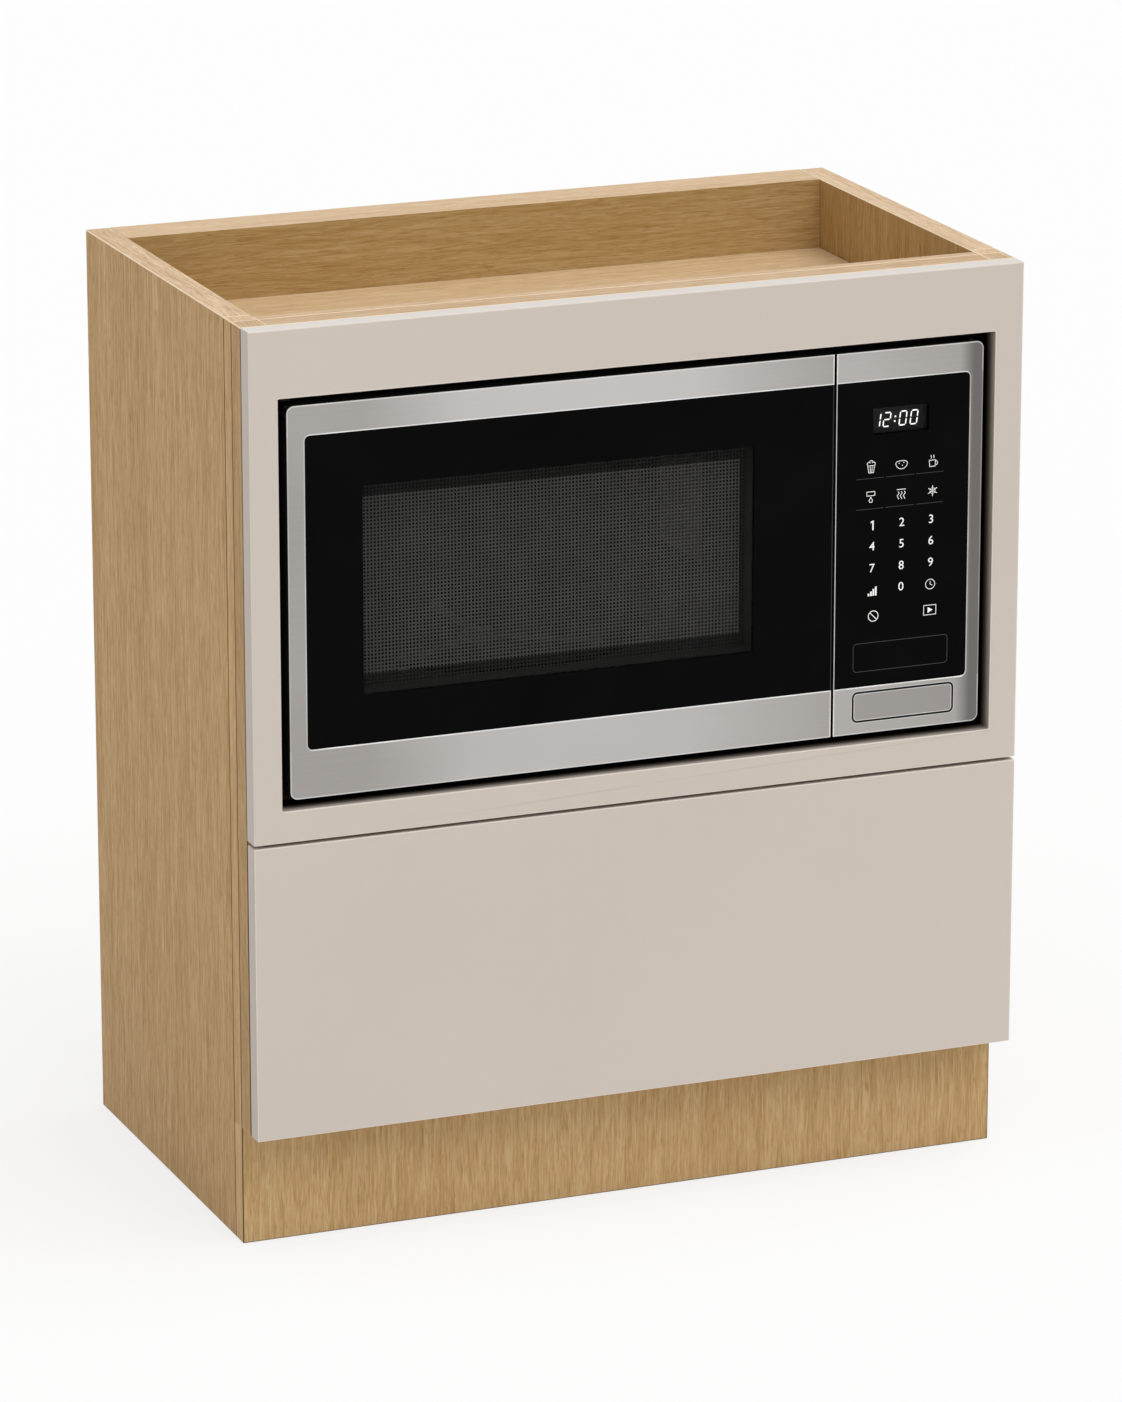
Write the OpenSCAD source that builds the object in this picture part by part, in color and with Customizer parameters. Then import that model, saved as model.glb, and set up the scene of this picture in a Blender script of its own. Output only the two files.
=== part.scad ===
// Base cabinet with a built-in microwave oven above one wide drawer.
// Front is -Y, top is +Z, and the origin is on the floor under the centre of the cabinet.

/* [Cabinet] */
// Overall width
cab_w = 762; // [686:1:914]
// Overall height, floor to rim
cab_h = 876; // [800:1:960]
// Overall depth, fronts included
cab_d = 457; // [420:1:620]
// Thickness of the side panels
side_t = 25; // [18:1:28]
// Width of the solid strip on each side panel's front edge, and thickness of the toe board
lip_t = 20; // [12:1:24]
// Height of the toe board
toe_h = 114; // [100:1:120]
// Thickness of the shelf and the bottom panel
board_t = 18; // [15:1:19]
// Thickness of the back panel
back_t = 12; // [6:1:14]
// Radius of the cable hole in the back panel
port_r = 30; // [25:1:40]
// Side of the square cleats under the deck and the shelf
cleat = 18; // [12:1:18]

/* [Face frame and fronts] */
// Thickness of the face frame
frame_t = 25; // [19:1:28]
// Height of the frame's bottom rail
low_rail_h = 26; // [24:1:40]
// Height of the frame's middle rail
mid_rail_h = 45; // [38:1:55]
// Thickness of the fascia panel
front_t = 19; // [16:1:22]
// Gap between the drawer front and the fascia
front_gap = 3; // [2:0.5:4]
// Width of the fascia beside the oven opening
fascia_side = 28; // [26:1:40]
// Height of the fascia over the oven opening
fascia_head = 64; // [60:1:70]
// Height of the fascia under the oven opening
fascia_foot = 30; // [26:1:40]
// Height of the oven opening in the fascia
open_h = 384; // [330:1:430]
// How far the face frame stands back from the opening's edge
reveal = 3; // [1:0.5:5]

/* [Top tray] */
// Depth of the tray under the rim
recess = 68; // [60:1:70]
// Thickness of the deck
deck_t = 12; // [9:1:14]
// Thickness of the rear top rail
rear_rail_t = 50; // [38:1:60]
// Depth of the rear top rail under the deck
rear_rail_drop = 18; // [16:1:24]
// Thickness of the apron behind the frame's top rail
apron_t = 12; // [9:1:19]
// Distance between the two wall screw holes
wall_pitch = 406.4; // [300:0.1:500]
// Radius of the wall screw holes
wall_hole_r = 3; // [2.5:0.1:4]

/* [Drawer] */
// Room over the drawer box
box_head = 40; // [25:1:60]
// Room behind the drawer box
box_back = 57; // [52:1:70]
// Thickness of the box boards
box_t = 15; // [12:1:16]
// Thickness of the drawer bottom
tray_t = 9; // [6:1:10]
// Depth of the groove that holds the drawer bottom
groove = 6; // [4:1:8]
// Gap under the drawer box
box_lift = 12; // [10:1:20]
// How much shorter the runners are than the box
runner_short = 20; // [10:1:60]
// Height of the runners
runner_h = 45; // [40:1:46]
// Width that each runner takes beside the box
runner_w = 12.7; // [12.7:0.1:13.5]
// Sheet thickness of the runners
runner_t = 1.2; // [1:0.1:1.4]
// Height of the runners' middle above the box's underside
runner_z = 48; // [40:1:60]
// Thickness of the rubber bumpers
bumper_t = 1; // [0.8:0.1:1.5]

/* [Oven front] */
// Gap between the oven's front and the fascia, at each side
side_gap = 9.5; // [7:0.5:12]
// Gap between the oven's front and the fascia, above and below
end_gap = 8.5; // [6:0.5:12]
// How far the oven's front stands behind the fascia's front
setback = 5; // [3:0.5:8]
// Thickness of the steel front skins
skin_t = 8; // [7:0.5:9]
// Thickness of the front glasses
glass_t = 4; // [3:0.5:4.5]
// How far the glass sits below the steel
glass_sink = 0.5; // [0.3:0.1:1]
// Gap between the oven's front plate and the carcass boards behind the face frame
plate_gap = 1.3; // [1:0.1:2]
// Gap between the door and the oven's front plate
door_gap = 1.5; // [1.2:0.1:2]
// Width of the control panel
panel_w = 149; // [145:1:152]
// Gap between the door and the control panel
split = 2.5; // [2:0.1:4]
// Outer corner radius
corner_r = 7; // [4:0.5:9]
// Height of the steel band over the glass
band_top = 28.5; // [25:0.5:32]
// Height of the steel band under the glass
band_low = 45.5; // [44:0.5:50]
// Width of the steel band left of the door glass
band_left = 17; // [14:0.5:20]
// Width of the steel band right of the control glass
band_right = 13.5; // [10:0.5:16]
// Corner radius of the glasses
glass_r = 5; // [3:0.5:7]

/* [Door window] */
// Distance from the door's left edge to the window
win_left = 72; // [65:1:80]
// Distance from the door's right edge to the window
win_right = 79.5; // [75:0.5:90]
// Distance from the front's lower edge to the window
win_low = 91.5; // [86:0.5:96]
// Distance from the front's upper edge to the window
win_top = 79.5; // [75:0.5:90]
// Distance from the glass face to the screen
screen_depth = 24; // [20:0.5:26]
// Width of the seat around the screen
screen_seat = 4; // [3:0.5:6]
// Thickness of the screen
screen_t = 1; // [0.8:0.1:1.5]

/* [Controls] */
// Width of the release button
button_w = 101.5; // [90:0.5:105]
// Height of the release button
button_h = 27; // [22:0.5:30]
// Distance from the front's right edge to the button
button_right = 27; // [24:0.5:30]
// Distance from the front's lower edge to the button
button_low = 12.5; // [10:0.5:13]
// Corner radius of the button
button_r = 4; // [2:0.5:5]
// Gap around the button
button_gap = 1; // [0.6:0.1:1.5]
// Travel of the button
button_travel = 4; // [2:0.5:5]
// Width of the display
display_w = 56.5; // [50:0.5:60]
// Height of the display
display_h = 25; // [20:0.5:28]
// Distance from the front's right edge to the display
display_right = 55; // [50:0.5:60]
// Distance from the front's upper edge to the display
display_top = 55; // [50:0.5:60]

/* [Oven body] */
// How far the case stands inside the front, at the sides
case_in = 10; // [6:0.5:14]
// How far the case stands above the front's lower edge
case_low = 4.5; // [3:0.5:8]
// Room between the case and the deck over it
case_head = 10; // [5:1:20]
// Room between the case and the rear rail
case_back = 14.3; // [10:0.1:30]
// Sheet thickness of the oven's steel parts
sheet = 1.2; // [1:0.1:1.5]
// Distance from the case to the cooking space's left wall
cavity_left = 48; // [44:1:52]
// Width of the compartment right of the cooking space
compartment = 208; // [195:1:230]
// Distance from the case's back to the cooking space's rear wall
cavity_back = 15; // [10:1:30]
// Height of the cooking space's floor above the case's underside
cavity_lift = 59; // [50:1:62]
// Distance from the cooking space's ceiling to the case's top
cavity_head = 41; // [30:1:50]
// Radius of the oven's feet
foot_r = 12; // [8:1:15]
// Width of the waveguide
guide_w = 30; // [24:1:36]

/* [Turntable] */
// Gap between the glass tray and the nearest wall
tray_gap = 12.5; // [8:0.5:20]
// Thickness of the glass tray
dish_t = 5; // [4:0.5:6]
// Height of the tray's rim
rim_h = 9; // [6:0.5:12]
// Radius of the rollers
roller_r = 6.7; // [5:0.1:8]
// Distance from the tray's edge to the circle that the rollers run on
roller_in = 43; // [30:1:60]
// Radius of the drive shaft
shaft_r = 3.5; // [3:0.1:4]

/* [Hidden] */
$fn = 64;

OAK = "burlywood";
OAK_EDGE = "tan";
LACQUER = [0.79, 0.75, 0.71];
BIRCH = "wheat";
ZINC = "silver";
STEEL = [0.68, 0.67, 0.65];
SHEET = [0.62, 0.63, 0.64];
BLACK = [0.05, 0.05, 0.05];
GLASS = [0.03, 0.03, 0.03];
PLASTIC = [0.12, 0.12, 0.13];

run = 0.3;      // running gap between pieces that move past each other
shaft_gap = 0.05; // radial clearance of a shaft in its bore
cut = 1;        // how far a cutter runs past a face

// Cabinet, front to back
half_w = cab_w / 2;
in_x = half_w - side_t;
y_front = -cab_d / 2;
y_back = cab_d / 2;
frame_y = y_front + front_t;
carcass_y = frame_y + frame_t;
panel_y = carcass_y + lip_t;
back_y = y_back - back_t;
tray_y0 = carcass_y + apron_t;
tray_y1 = y_back - rear_rail_t;

// Cabinet, floor to rim
open_z1 = cab_h - fascia_head;
open_z0 = open_z1 - open_h;
open_x = half_w - fascia_side;
fascia_z = open_z0 - fascia_foot;
drawer_top = fascia_z - front_gap;
shelf_z = open_z0 - reveal;
top_rail_z = open_z1 + reveal;
deck_z = cab_h - recess;
rear_rail_z = deck_z - deck_t - rear_rail_drop;
bay_z0 = toe_h + low_rail_h;
bay_z1 = shelf_z - mid_rail_h;
port_in = 131;           // cable hole inside the cabinet's right side, and above the shelf
port_up = 175;
port_x = half_w - port_in;
port_z = shelf_z + port_up;
grommet_wall = 4;
grommet_lip = 6;
grommet_t = 2;

// Oven front
oven_x1 = open_x - side_gap;
oven_x0 = -oven_x1;
oven_z0 = open_z0 + end_gap;
oven_z1 = open_z1 - end_gap;
oven_y = y_front + setback;
skin_y = oven_y + skin_t;
glass_y = oven_y + glass_sink;
plate_y1 = carcass_y - plate_gap;
plate_y0 = plate_y1 - sheet;
door_y1 = plate_y0 - door_gap;
door_x1 = oven_x1 - panel_w - split;
panel_x0 = oven_x1 - panel_w;
glass_z0 = oven_z0 + band_low;
glass_z1 = oven_z1 - band_top;
glass_x0 = oven_x0 + band_left;
glass_x1 = oven_x1 - band_right;
win_x = [oven_x0 + win_left, door_x1 - win_right];
win_z = [oven_z0 + win_low, oven_z1 - win_top];
win_r = 3;
screen_y = oven_y + screen_depth;

// Oven body
case_x = oven_x1 - case_in;
case_z0 = oven_z0 + case_low;
case_z1 = deck_z - deck_t - case_head;
case_y1 = tray_y1 - case_back;
cavity_x = [-case_x + cavity_left, case_x - compartment];
cavity_z = [case_z0 + cavity_lift, case_z1 - cavity_head];
cavity_y = [plate_y1, case_y1 - cavity_back];
mid_x = (cavity_x[0] + cavity_x[1]) / 2;
mid_y = (cavity_y[0] + cavity_y[1]) / 2;
mid_z = (cavity_z[0] + cavity_z[1]) / 2;

// Runners and drawer box
drawer_y = frame_y - bumper_t;
box_x = in_x - runner_w;
box_y1 = back_y - box_back;
box_z = [bay_z0 + box_lift, bay_z1 - box_head];
tray_lift = 12;          // drawer bottom above the box's underside
bumper_r = 5;
bumper_up = 8;           // upper bumpers above the middle rail's underside
runner_mid = box_z[0] + runner_z;
runner_in = 3;           // runner's front end behind the drawer front
runner_y = [drawer_y + runner_in, box_y1 - runner_short + runner_in];
cabinet_member_w = 9;    // widths of the three members, and where the middle one stands
middle_member_in = 3.2;
middle_member_w = 7.8;
drawer_member_w = 6.7;
middle_half = runner_h / 2 - runner_t - run;
latch_z = (box_z[0] + box_z[1]) / 2;
latch_r = 7;
latch_l = 42;
latch_wall = 4;
latch_plate = 40;
plunger_r = 4;
plunger_tip = 4;
plunger_travel = 3;

// Oven sheet work
plate_in = 2;            // front plate inside the oven's outline
foot_in = 50;            // feet inside the case
vent_count = 14;
vent_in = 30;
vent_pitch = 8;
vent_w = 4;
vent_l = 28;
vent_gap = 8;
vent_up = 40;
inlet_up = 50;           // lead bush above the case's underside
inlet_z = case_z0 + inlet_up;
lead_r = 7;
bush_wall = 3;
bush_l = 16;
guide_l = 90;            // waveguide's depth and height
guide_y = [mid_y - guide_l / 2, mid_y + guide_l / 2];
guide_z = [mid_z - guide_l / 2, mid_z + guide_l / 2];
mica_t = 0.5;
mica_lap = 5;            // how far the cover laps over the waveguide's mouth
lamp_w = 20;
tube_x = cavity_x[1] + sheet + guide_w;
tube_w = 80;
tube_d = 70;
yoke_t = 5;
fin_count = 8;
fin_pitch = (tube_w - 2 * yoke_t) / (fin_count + 1);
anode_r = 20;
board_in = 12;
pillar_r = 4;
pillar_h = 10;
pcb_t = 1.6;
coil_w = 44;
coil_h = 36;
coil_end = 6.5;          // transformer's and heat sink's rear ends from the board's rear edge
sink_fins = 6;
sink_end = 10.5;
cap_r = 9;
cap_h = 30;

// Cooling fan
fan_x = (tube_x + case_x) / 2;
fan_down = 20;           // fan's axis under the cooking space's ceiling
fan_t = 25;
fan_z = cavity_z[1] - fan_down;
fan_y = [case_y1 - sheet - fan_t, case_y1 - sheet];
fan_bore = 42;
fan_wall = 4;
fan_hole_r = 4.5;
fan_motor_r = 15;
fan_motor_l = 20;
fan_shaft_r = 2;
fan_hub_gap = 3;
strut_t = 3;
blade_count = 5;
blade_gap = 2;
blade_t = 1.5;
blade_w = 22;
blade_tilt = 40;

// Turntable
tray_r = min(cavity_x[1] - cavity_x[0], cavity_y[1] - cavity_y[0]) / 2 - tray_gap;
roller_track = tray_r - roller_in;
motor_r = 24;
motor_h = 16;
motor_z = cavity_z[0] - sheet - motor_h;
ear_l = 8;
head_r = 12;
head_lift = 1;           // coupler's head above the cavity's floor
roller_mid = cavity_z[0] + run + roller_r;
dish_z = roller_mid + roller_r + run;
rim_t = 4;
ring_gap = 2;            // between the coupler's lobes and the ring
ring_w = 5;
ring_t = 4;
axle_r = 1.5;
wheel_w = 6;
wheel_turn = 90;         // direction of the ring's last arm from +X

// Control panel
edge_t = 1;              // steel edge beside each glass at the split
house_in = 3;
house_t = 2.5;
display_x = [oven_x1 - display_right - display_w, oven_x1 - display_right];
display_z = [oven_z1 - display_top - display_h, oven_z1 - display_top];
pcb_gap = 10;            // circuit board behind the steel skin
pcb_y = skin_y + pcb_gap;
button_x = [oven_x1 - button_right - button_w, oven_x1 - button_right];
button_z = [oven_z0 + button_low, oven_z0 + button_low + button_h];
button_flange = 2;
button_lap = 2;
button_y1 = skin_y + run + button_flange;
stem_w = 8;
stem_x = button_x[0] + stem_w;
stem_z = (button_z[0] + button_z[1]) / 2;
stem_reach = 10;         // stem behind the front plate with the button out

// Door and its hinge
pivot_in = 10;           // hinge axis from the door's left edge
pivot_deep = 14;         // hinge axis from the door's front face
pivot_x = oven_x0 + pivot_in;
pivot_y = oven_y + pivot_deep;
pin_r = 2.5;
pin_l = 8;
pin_edge = 0.5;          // bracket metal beside the pin
boss = 6;
rim_w = 3;
band_t = 2;              // metal of the steel bands in front of their hollows
rim_d = 12;
inner_in = 6;            // inner panel inside the door's left and right edges
choke_t = 2.5;
inner_down = 18.5;       // inner panel inside the door's upper and lower edges
inner_x = [oven_x0 + inner_in, door_x1 - inner_in];
inner_z = [oven_z0 + inner_down, oven_z1 - inner_down];
bracket_t = 3;
bracket_w = 7;
bracket_z = inner_z[1] + bracket_t;
hook_in = 14;            // hooks inside the inner panel's right, lower and upper edges
hook_low = 55;
hook_high = 65;
hook_x = inner_x[1] - hook_in;
hook_z = [inner_z[0] + hook_low, inner_z[1] - hook_high];
hook_w = 6;
hook_h = 16;
hook_l = 20;             // hook behind the front plate
hook_play = 2.5;
bar_w = 12;
bar_t = 6;
lock_w = 30;
lock_d = 28;
lock_wall = 3;

module block(x, y, z)
    translate([x[0], y[0], z[0]]) cube([x[1] - x[0], y[1] - y[0], z[1] - z[0]]);

// A flat shape drawn in X and Z, given its thickness along Y.
module slab(y)
    translate([0, y[1], 0]) rotate([90, 0, 0]) linear_extrude(y[1] - y[0]) children();

module rect(x, z)
    translate([x[0], z[0]]) square([x[1] - x[0], z[1] - z[0]]);

// Rectangle with a radius at each corner: lower left, lower right, upper right, upper left.
module rounded(x, z, r) {
    spots = [[x[0], z[0], 1, 1], [x[1], z[0], -1, 1], [x[1], z[1], -1, -1], [x[0], z[1], 1, -1]];
    difference() {
        rect(x, z);
        for (i = [0:3]) if (r[i] > 0) translate([spots[i][0], spots[i][1]]) scale([spots[i][2], spots[i][3]])
            difference() {
                translate([-cut, -cut]) square(r[i] + cut);
                translate([r[i], r[i]]) circle(r[i]);
            }
    }
}

module rod_x(r, x, y, z) translate([x[0], y, z]) rotate([0, 90, 0]) cylinder(r = r, h = x[1] - x[0]);
module rod_y(r, x, y, z) translate([x, y[1], z]) rotate([90, 0, 0]) cylinder(r = r, h = y[1] - y[0]);
module rod_z(r, x, y, z) translate([x, y, z[0]]) cylinder(r = r, h = z[1] - z[0]);

// ---------- Cabinet ----------

module side_panel(side) {
    xs = side < 0 ? [-half_w, -in_x] : [in_x, half_w];
    color(OAK) block(xs, [panel_y, y_back], [0, cab_h]);
}

module side_lippings()
    for (s = [-1, 1]) color(OAK_EDGE)
        block(s < 0 ? [-half_w, -in_x] : [in_x, half_w], [carcass_y, panel_y], [toe_h, cab_h]);

module toe_board() color(OAK) block([-half_w, half_w], [carcass_y, panel_y], [0, toe_h]);

module bottom_panel()
    color(OAK) block([-in_x, in_x], [carcass_y, back_y], [bay_z0 - board_t, bay_z0]);

module appliance_shelf()
    color(OAK) block([-in_x, in_x], [carcass_y, back_y], [shelf_z - board_t, shelf_z]);

module top_deck()
    color(OAK) block([-in_x, in_x], [tray_y0, tray_y1], [deck_z - deck_t, deck_z]);

// The rail that is seen as the tray's rear wall. Two screws through it, under the deck, hold the
// cabinet to the wall.
module rear_top_rail() color(OAK) difference() {
    block([-in_x, in_x], [tray_y1, y_back], [rear_rail_z, cab_h]);
    for (s = [-1, 1])
        rod_y(wall_hole_r, s * wall_pitch / 2, [tray_y1 - cut, y_back + cut],
              rear_rail_z + rear_rail_drop / 2);
}

module back_panel() color(OAK) difference() {
    block([-in_x, in_x], [back_y, y_back], [0, rear_rail_z]);
    rod_y(port_r, port_x, [back_y - cut, y_back + cut], port_z);
}

module cable_grommet() color(PLASTIC) difference() {
    union() {
        rod_y(port_r, port_x, [back_y, y_back], port_z);
        rod_y(port_r + grommet_lip, port_x, [back_y - grommet_t, back_y], port_z);
    }
    rod_y(port_r - grommet_wall, port_x, [back_y - grommet_t - cut, y_back + cut], port_z);
}

module frame_stiles()
    for (s = [-1, 1]) color(OAK_EDGE)
        block(s < 0 ? [-half_w, -in_x] : [in_x, half_w], [frame_y, carcass_y], [toe_h, cab_h]);

module frame_rail(z) color(OAK_EDGE) block([-in_x, in_x], [frame_y, carcass_y], z);

module deck_apron()
    color(OAK) block([-in_x, in_x], [carcass_y, tray_y0], [deck_z - deck_t, cab_h]);

// Square battens that the deck and the shelf rest on.
module support_cleats() color(BIRCH) for (s = [-1, 1]) {
    xs = s < 0 ? [-in_x, -in_x + cleat] : [in_x - cleat, in_x];
    block(xs, [tray_y0, tray_y1], [deck_z - deck_t - cleat, deck_z - deck_t]);
    block(xs, [carcass_y, back_y], [shelf_z - board_t - cleat, shelf_z - board_t]);
}

module frame_top_rail() frame_rail([top_rail_z, cab_h]);

module frame_mid_rail() frame_rail([bay_z1, shelf_z]);

module frame_bottom_rail() frame_rail([toe_h, bay_z0]);

module fascia_panel() color(LACQUER) difference() {
    block([-half_w, half_w], [y_front, frame_y], [fascia_z, cab_h]);
    block([-open_x, open_x], [y_front - cut, frame_y + cut], [open_z0, open_z1]);
}

// ---------- Drawer and its runners ----------

// The same shape on the right and, mirrored, on the left.
module each_side() {
    children();
    mirror([1, 0, 0]) children();
}

// A steel channel along Y. Its web stands at x[0] and its flanges reach to x[1].
module channel(x, y, half) {
    block(x[0] < x[1] ? [x[0], x[0] + runner_t] : [x[0] - runner_t, x[0]], y,
        [runner_mid - half, runner_mid + half]);
    for (z = [runner_mid - half, runner_mid + half - runner_t])
        block([min(x), max(x)], y, [z, z + runner_t]);
}

module runner_cabinet_members()
    color(ZINC) each_side() channel([in_x, in_x - cabinet_member_w], runner_y, runner_h / 2);

module runner_middle_members() color(ZINC) each_side()
    channel([in_x - middle_member_in, in_x - middle_member_in - middle_member_w], runner_y, middle_half);

module runner_drawer_members()
    color(ZINC) each_side() channel([box_x, box_x + drawer_member_w], runner_y, middle_half - runner_t - run);

module drawer_front()
    color(LACQUER) block([-half_w, half_w], [y_front, drawer_y], [toe_h, drawer_top]);

// The space that the drawer bottom fills, its grooves included.
module drawer_bottom_space() block(
    [-box_x + box_t - groove, box_x - box_t + groove],
    [drawer_y + box_t - groove, box_y1 - box_t + groove],
    [box_z[0] + tray_lift, box_z[0] + tray_lift + tray_t]);

module drawer_sides() color(BIRCH) difference() {
    each_side() block([box_x - box_t, box_x], [drawer_y, box_y1], box_z);
    drawer_bottom_space();
}

module drawer_end(y) color(BIRCH) difference() {
    block([-box_x + box_t, box_x - box_t], y, box_z);
    drawer_bottom_space();
}

module drawer_box_front() drawer_end([drawer_y, drawer_y + box_t]);

module drawer_box_back() drawer_end([box_y1 - box_t, box_y1]);

module drawer_bottom() color(BIRCH) drawer_bottom_space();

// Rubber discs on the back of the drawer front that meet the frame.
module drawer_bumpers() color(PLASTIC) each_side()
    for (z = [toe_h + low_rail_h / 2, bay_z1 + bumper_up])
        rod_y(bumper_r, half_w - side_t / 2, [drawer_y, frame_y], z);

module push_latch_housing() color(PLASTIC) difference() {
    union() {
        rod_y(latch_r, 0, [back_y - latch_l, back_y], latch_z);
        block([-latch_plate / 2, latch_plate / 2], [back_y - latch_wall, back_y],
            [latch_z - latch_plate / 3, latch_z + latch_plate / 3]);
    }
    rod_y(plunger_r + shaft_gap, 0, [back_y - latch_l - cut, back_y - latch_wall], latch_z);
}

module push_latch_plunger() color(ZINC) {
    rod_y(plunger_r, 0, [box_y1 + run, back_y - latch_wall - plunger_travel - cut], latch_z);
    rod_y(latch_r, 0, [box_y1 + run, box_y1 + run + plunger_tip], latch_z);
}

// ---------- Oven body ----------

// Slots through a sheet that stands square to X, in two rows.
module side_vents(x) for (row = [0, 1], i = [0:vent_count - 1]) {
    y = case_y1 - vent_in - i * vent_pitch;
    z = case_z0 + vent_up + row * (vent_l + vent_gap);
    block([x - cut, x + sheet + cut], [y - vent_w, y], [z, z + vent_l]);
}

// Painted steel wrapper over the top and both sides.
module oven_case() color(SHEET) difference() {
    block([-case_x, case_x], [plate_y1, case_y1], [case_z0, case_z1]);
    block([-case_x + sheet, case_x - sheet], [plate_y1 - cut, case_y1 + cut],
          [case_z0 - cut, case_z1 - sheet]);
    side_vents(-case_x);
    side_vents(case_x - sheet);
}

module oven_base() color(SHEET)
    block([-case_x + sheet, case_x - sheet], [plate_y1, case_y1 - sheet], [case_z0, case_z0 + sheet]);

// Rear sheet, with a ring of round holes for the fan and a hole for the mains lead.
module oven_back() color(SHEET) difference() {
    block([-case_x + sheet, case_x - sheet], [case_y1 - sheet, case_y1], [case_z0 + sheet, case_z1 - sheet]);
    for (ring = [1:3], i = [0:ring * 6 - 1])
        translate([fan_x, 0, fan_z]) rotate([0, i * 60 / ring, 0])
            rod_y(fan_hole_r, ring * fan_bore / 3.5, [case_y1 - sheet - cut, case_y1 + cut], 0);
    rod_y(lead_r, port_x, [case_y1 - sheet - cut, case_y1 + cut], inlet_z);
}

module hook_slots(y) for (z = hook_z)
    block([hook_x - hook_w / 2 - hook_play, hook_x + hook_w / 2 + hook_play], y,
        [z - hook_h / 2 - hook_play, z + hook_h / 2 + hook_play]);

module stem_slot(y, gap)
    block([stem_x - stem_w / 2 - gap, stem_x + stem_w / 2 + gap], y,
        [stem_z - stem_w / 2 - gap, stem_z + stem_w / 2 + gap]);

// Steel plate that the cavity, the door hinges and the control panel are fixed to.
module oven_front_plate() color(SHEET) difference() {
    block([oven_x0 + plate_in, oven_x1 - plate_in], [plate_y0, plate_y1],
        [oven_z0 + plate_in, oven_z1 - plate_in]);
    block(cavity_x, [plate_y0 - cut, plate_y1 + cut], cavity_z);
    hook_slots([plate_y0 - cut, plate_y1 + cut]);
    stem_slot([plate_y0 - cut, plate_y1 + cut], cut);
}

// Enamelled steel box, open at the front, with a hole for the turntable shaft and one for the waveguide.
module oven_cavity() color("lightgray") difference() {
    block([cavity_x[0] - sheet, cavity_x[1] + sheet], [plate_y1, cavity_y[1] + sheet],
        [cavity_z[0] - sheet, cavity_z[1] + sheet]);
    block(cavity_x, [plate_y1 - cut, cavity_y[1]], cavity_z);
    rod_z(shaft_r + cut, mid_x, mid_y, [cavity_z[0] - sheet - cut, cavity_z[0] + cut]);
    block([cavity_x[1] - cut, cavity_x[1] + sheet + cut], guide_y, guide_z);
}

module oven_feet() color(BLACK) each_side()
    for (y = [plate_y1 + foot_in, case_y1 - foot_in])
        rod_z(foot_r, case_x - foot_in, y, [shelf_z, case_z0]);

// Lamp holder and bulb outside the cavity's right wall.
module cavity_lamp() color("white") {
    block([cavity_x[1] + sheet, cavity_x[1] + sheet + lamp_w], [guide_y[1] + lamp_w, guide_y[1] + lamp_w * 2],
        [cavity_z[1] - lamp_w * 2, cavity_z[1] - lamp_w]);
    rod_x(lamp_w / 3, [cavity_x[1] + sheet + lamp_w, cavity_x[1] + sheet + lamp_w * 2],
        guide_y[1] + lamp_w * 1.5, cavity_z[1] - lamp_w * 1.5);
}

module waveguide_cover() color("tan")
    block([cavity_x[1] - mica_t, cavity_x[1]], [guide_y[0] - mica_lap, guide_y[1] + mica_lap],
        [guide_z[0] - mica_lap, guide_z[1] + mica_lap]);

// Magnetron with its fins between two magnets, on the waveguide that leads into the cavity.
module magnetron() color(SHEET) {
    difference() {
        block([cavity_x[1] + sheet, tube_x], guide_y, guide_z);
        block([cavity_x[1], tube_x - sheet], [guide_y[0] + sheet, guide_y[1] - sheet],
            [guide_z[0] + sheet, guide_z[1] - sheet]);
    }
    difference() {
        block([tube_x, tube_x + tube_w], [mid_y - tube_d / 2, mid_y + tube_d / 2],
            [mid_z - tube_w / 2, mid_z + tube_w / 2]);
        for (i = [0:fin_count])
            block([tube_x + yoke_t + fin_pitch * i, tube_x + yoke_t + fin_pitch * i + fin_pitch - sheet],
                [mid_y - tube_d / 2 - cut, mid_y + tube_d / 2 + cut],
                [mid_z - tube_w / 2 + yoke_t, mid_z + tube_w / 2 - yoke_t]);
    }
    rod_x(anode_r, [tube_x, tube_x + tube_w], mid_y, mid_z);
}

// Circuit board on four pillars, with a transformer, a heat sink and two capacitors.
module inverter_board() color("darkgreen") {
    z = case_z0 + sheet;
    x = [tube_x, case_x - sheet - board_in];
    y = [plate_y1 + board_in * 4, guide_y[0] - board_in];
    for (px = [x[0] + pillar_r, x[1] - pillar_r], py = [y[0] + pillar_r, y[1] - pillar_r])
        rod_z(pillar_r, px, py, [z, z + pillar_h]);
    block(x, y, [z + pillar_h, z + pillar_h + pcb_t]);
    block([x[0] + board_in, x[0] + board_in + coil_w], [y[0] + board_in, y[1] - coil_end],
        [z + pillar_h, z + pillar_h + coil_h]);
    for (i = [0:sink_fins - 1]) {
        fin_y = y[0] + board_in + i * (y[1] - sink_end - y[0] - board_in) / (sink_fins - 1);
        block([x[1] - board_in - coil_w, x[1] - board_in], [fin_y, fin_y + sheet],
            [z + pillar_h, z + pillar_h + coil_w]);
    }
    for (i = [1, 2])
        rod_z(cap_r, x[0] + 3 * cap_r * i, y[1] - board_in, [z + pillar_h, z + pillar_h + cap_h]);
}

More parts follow.
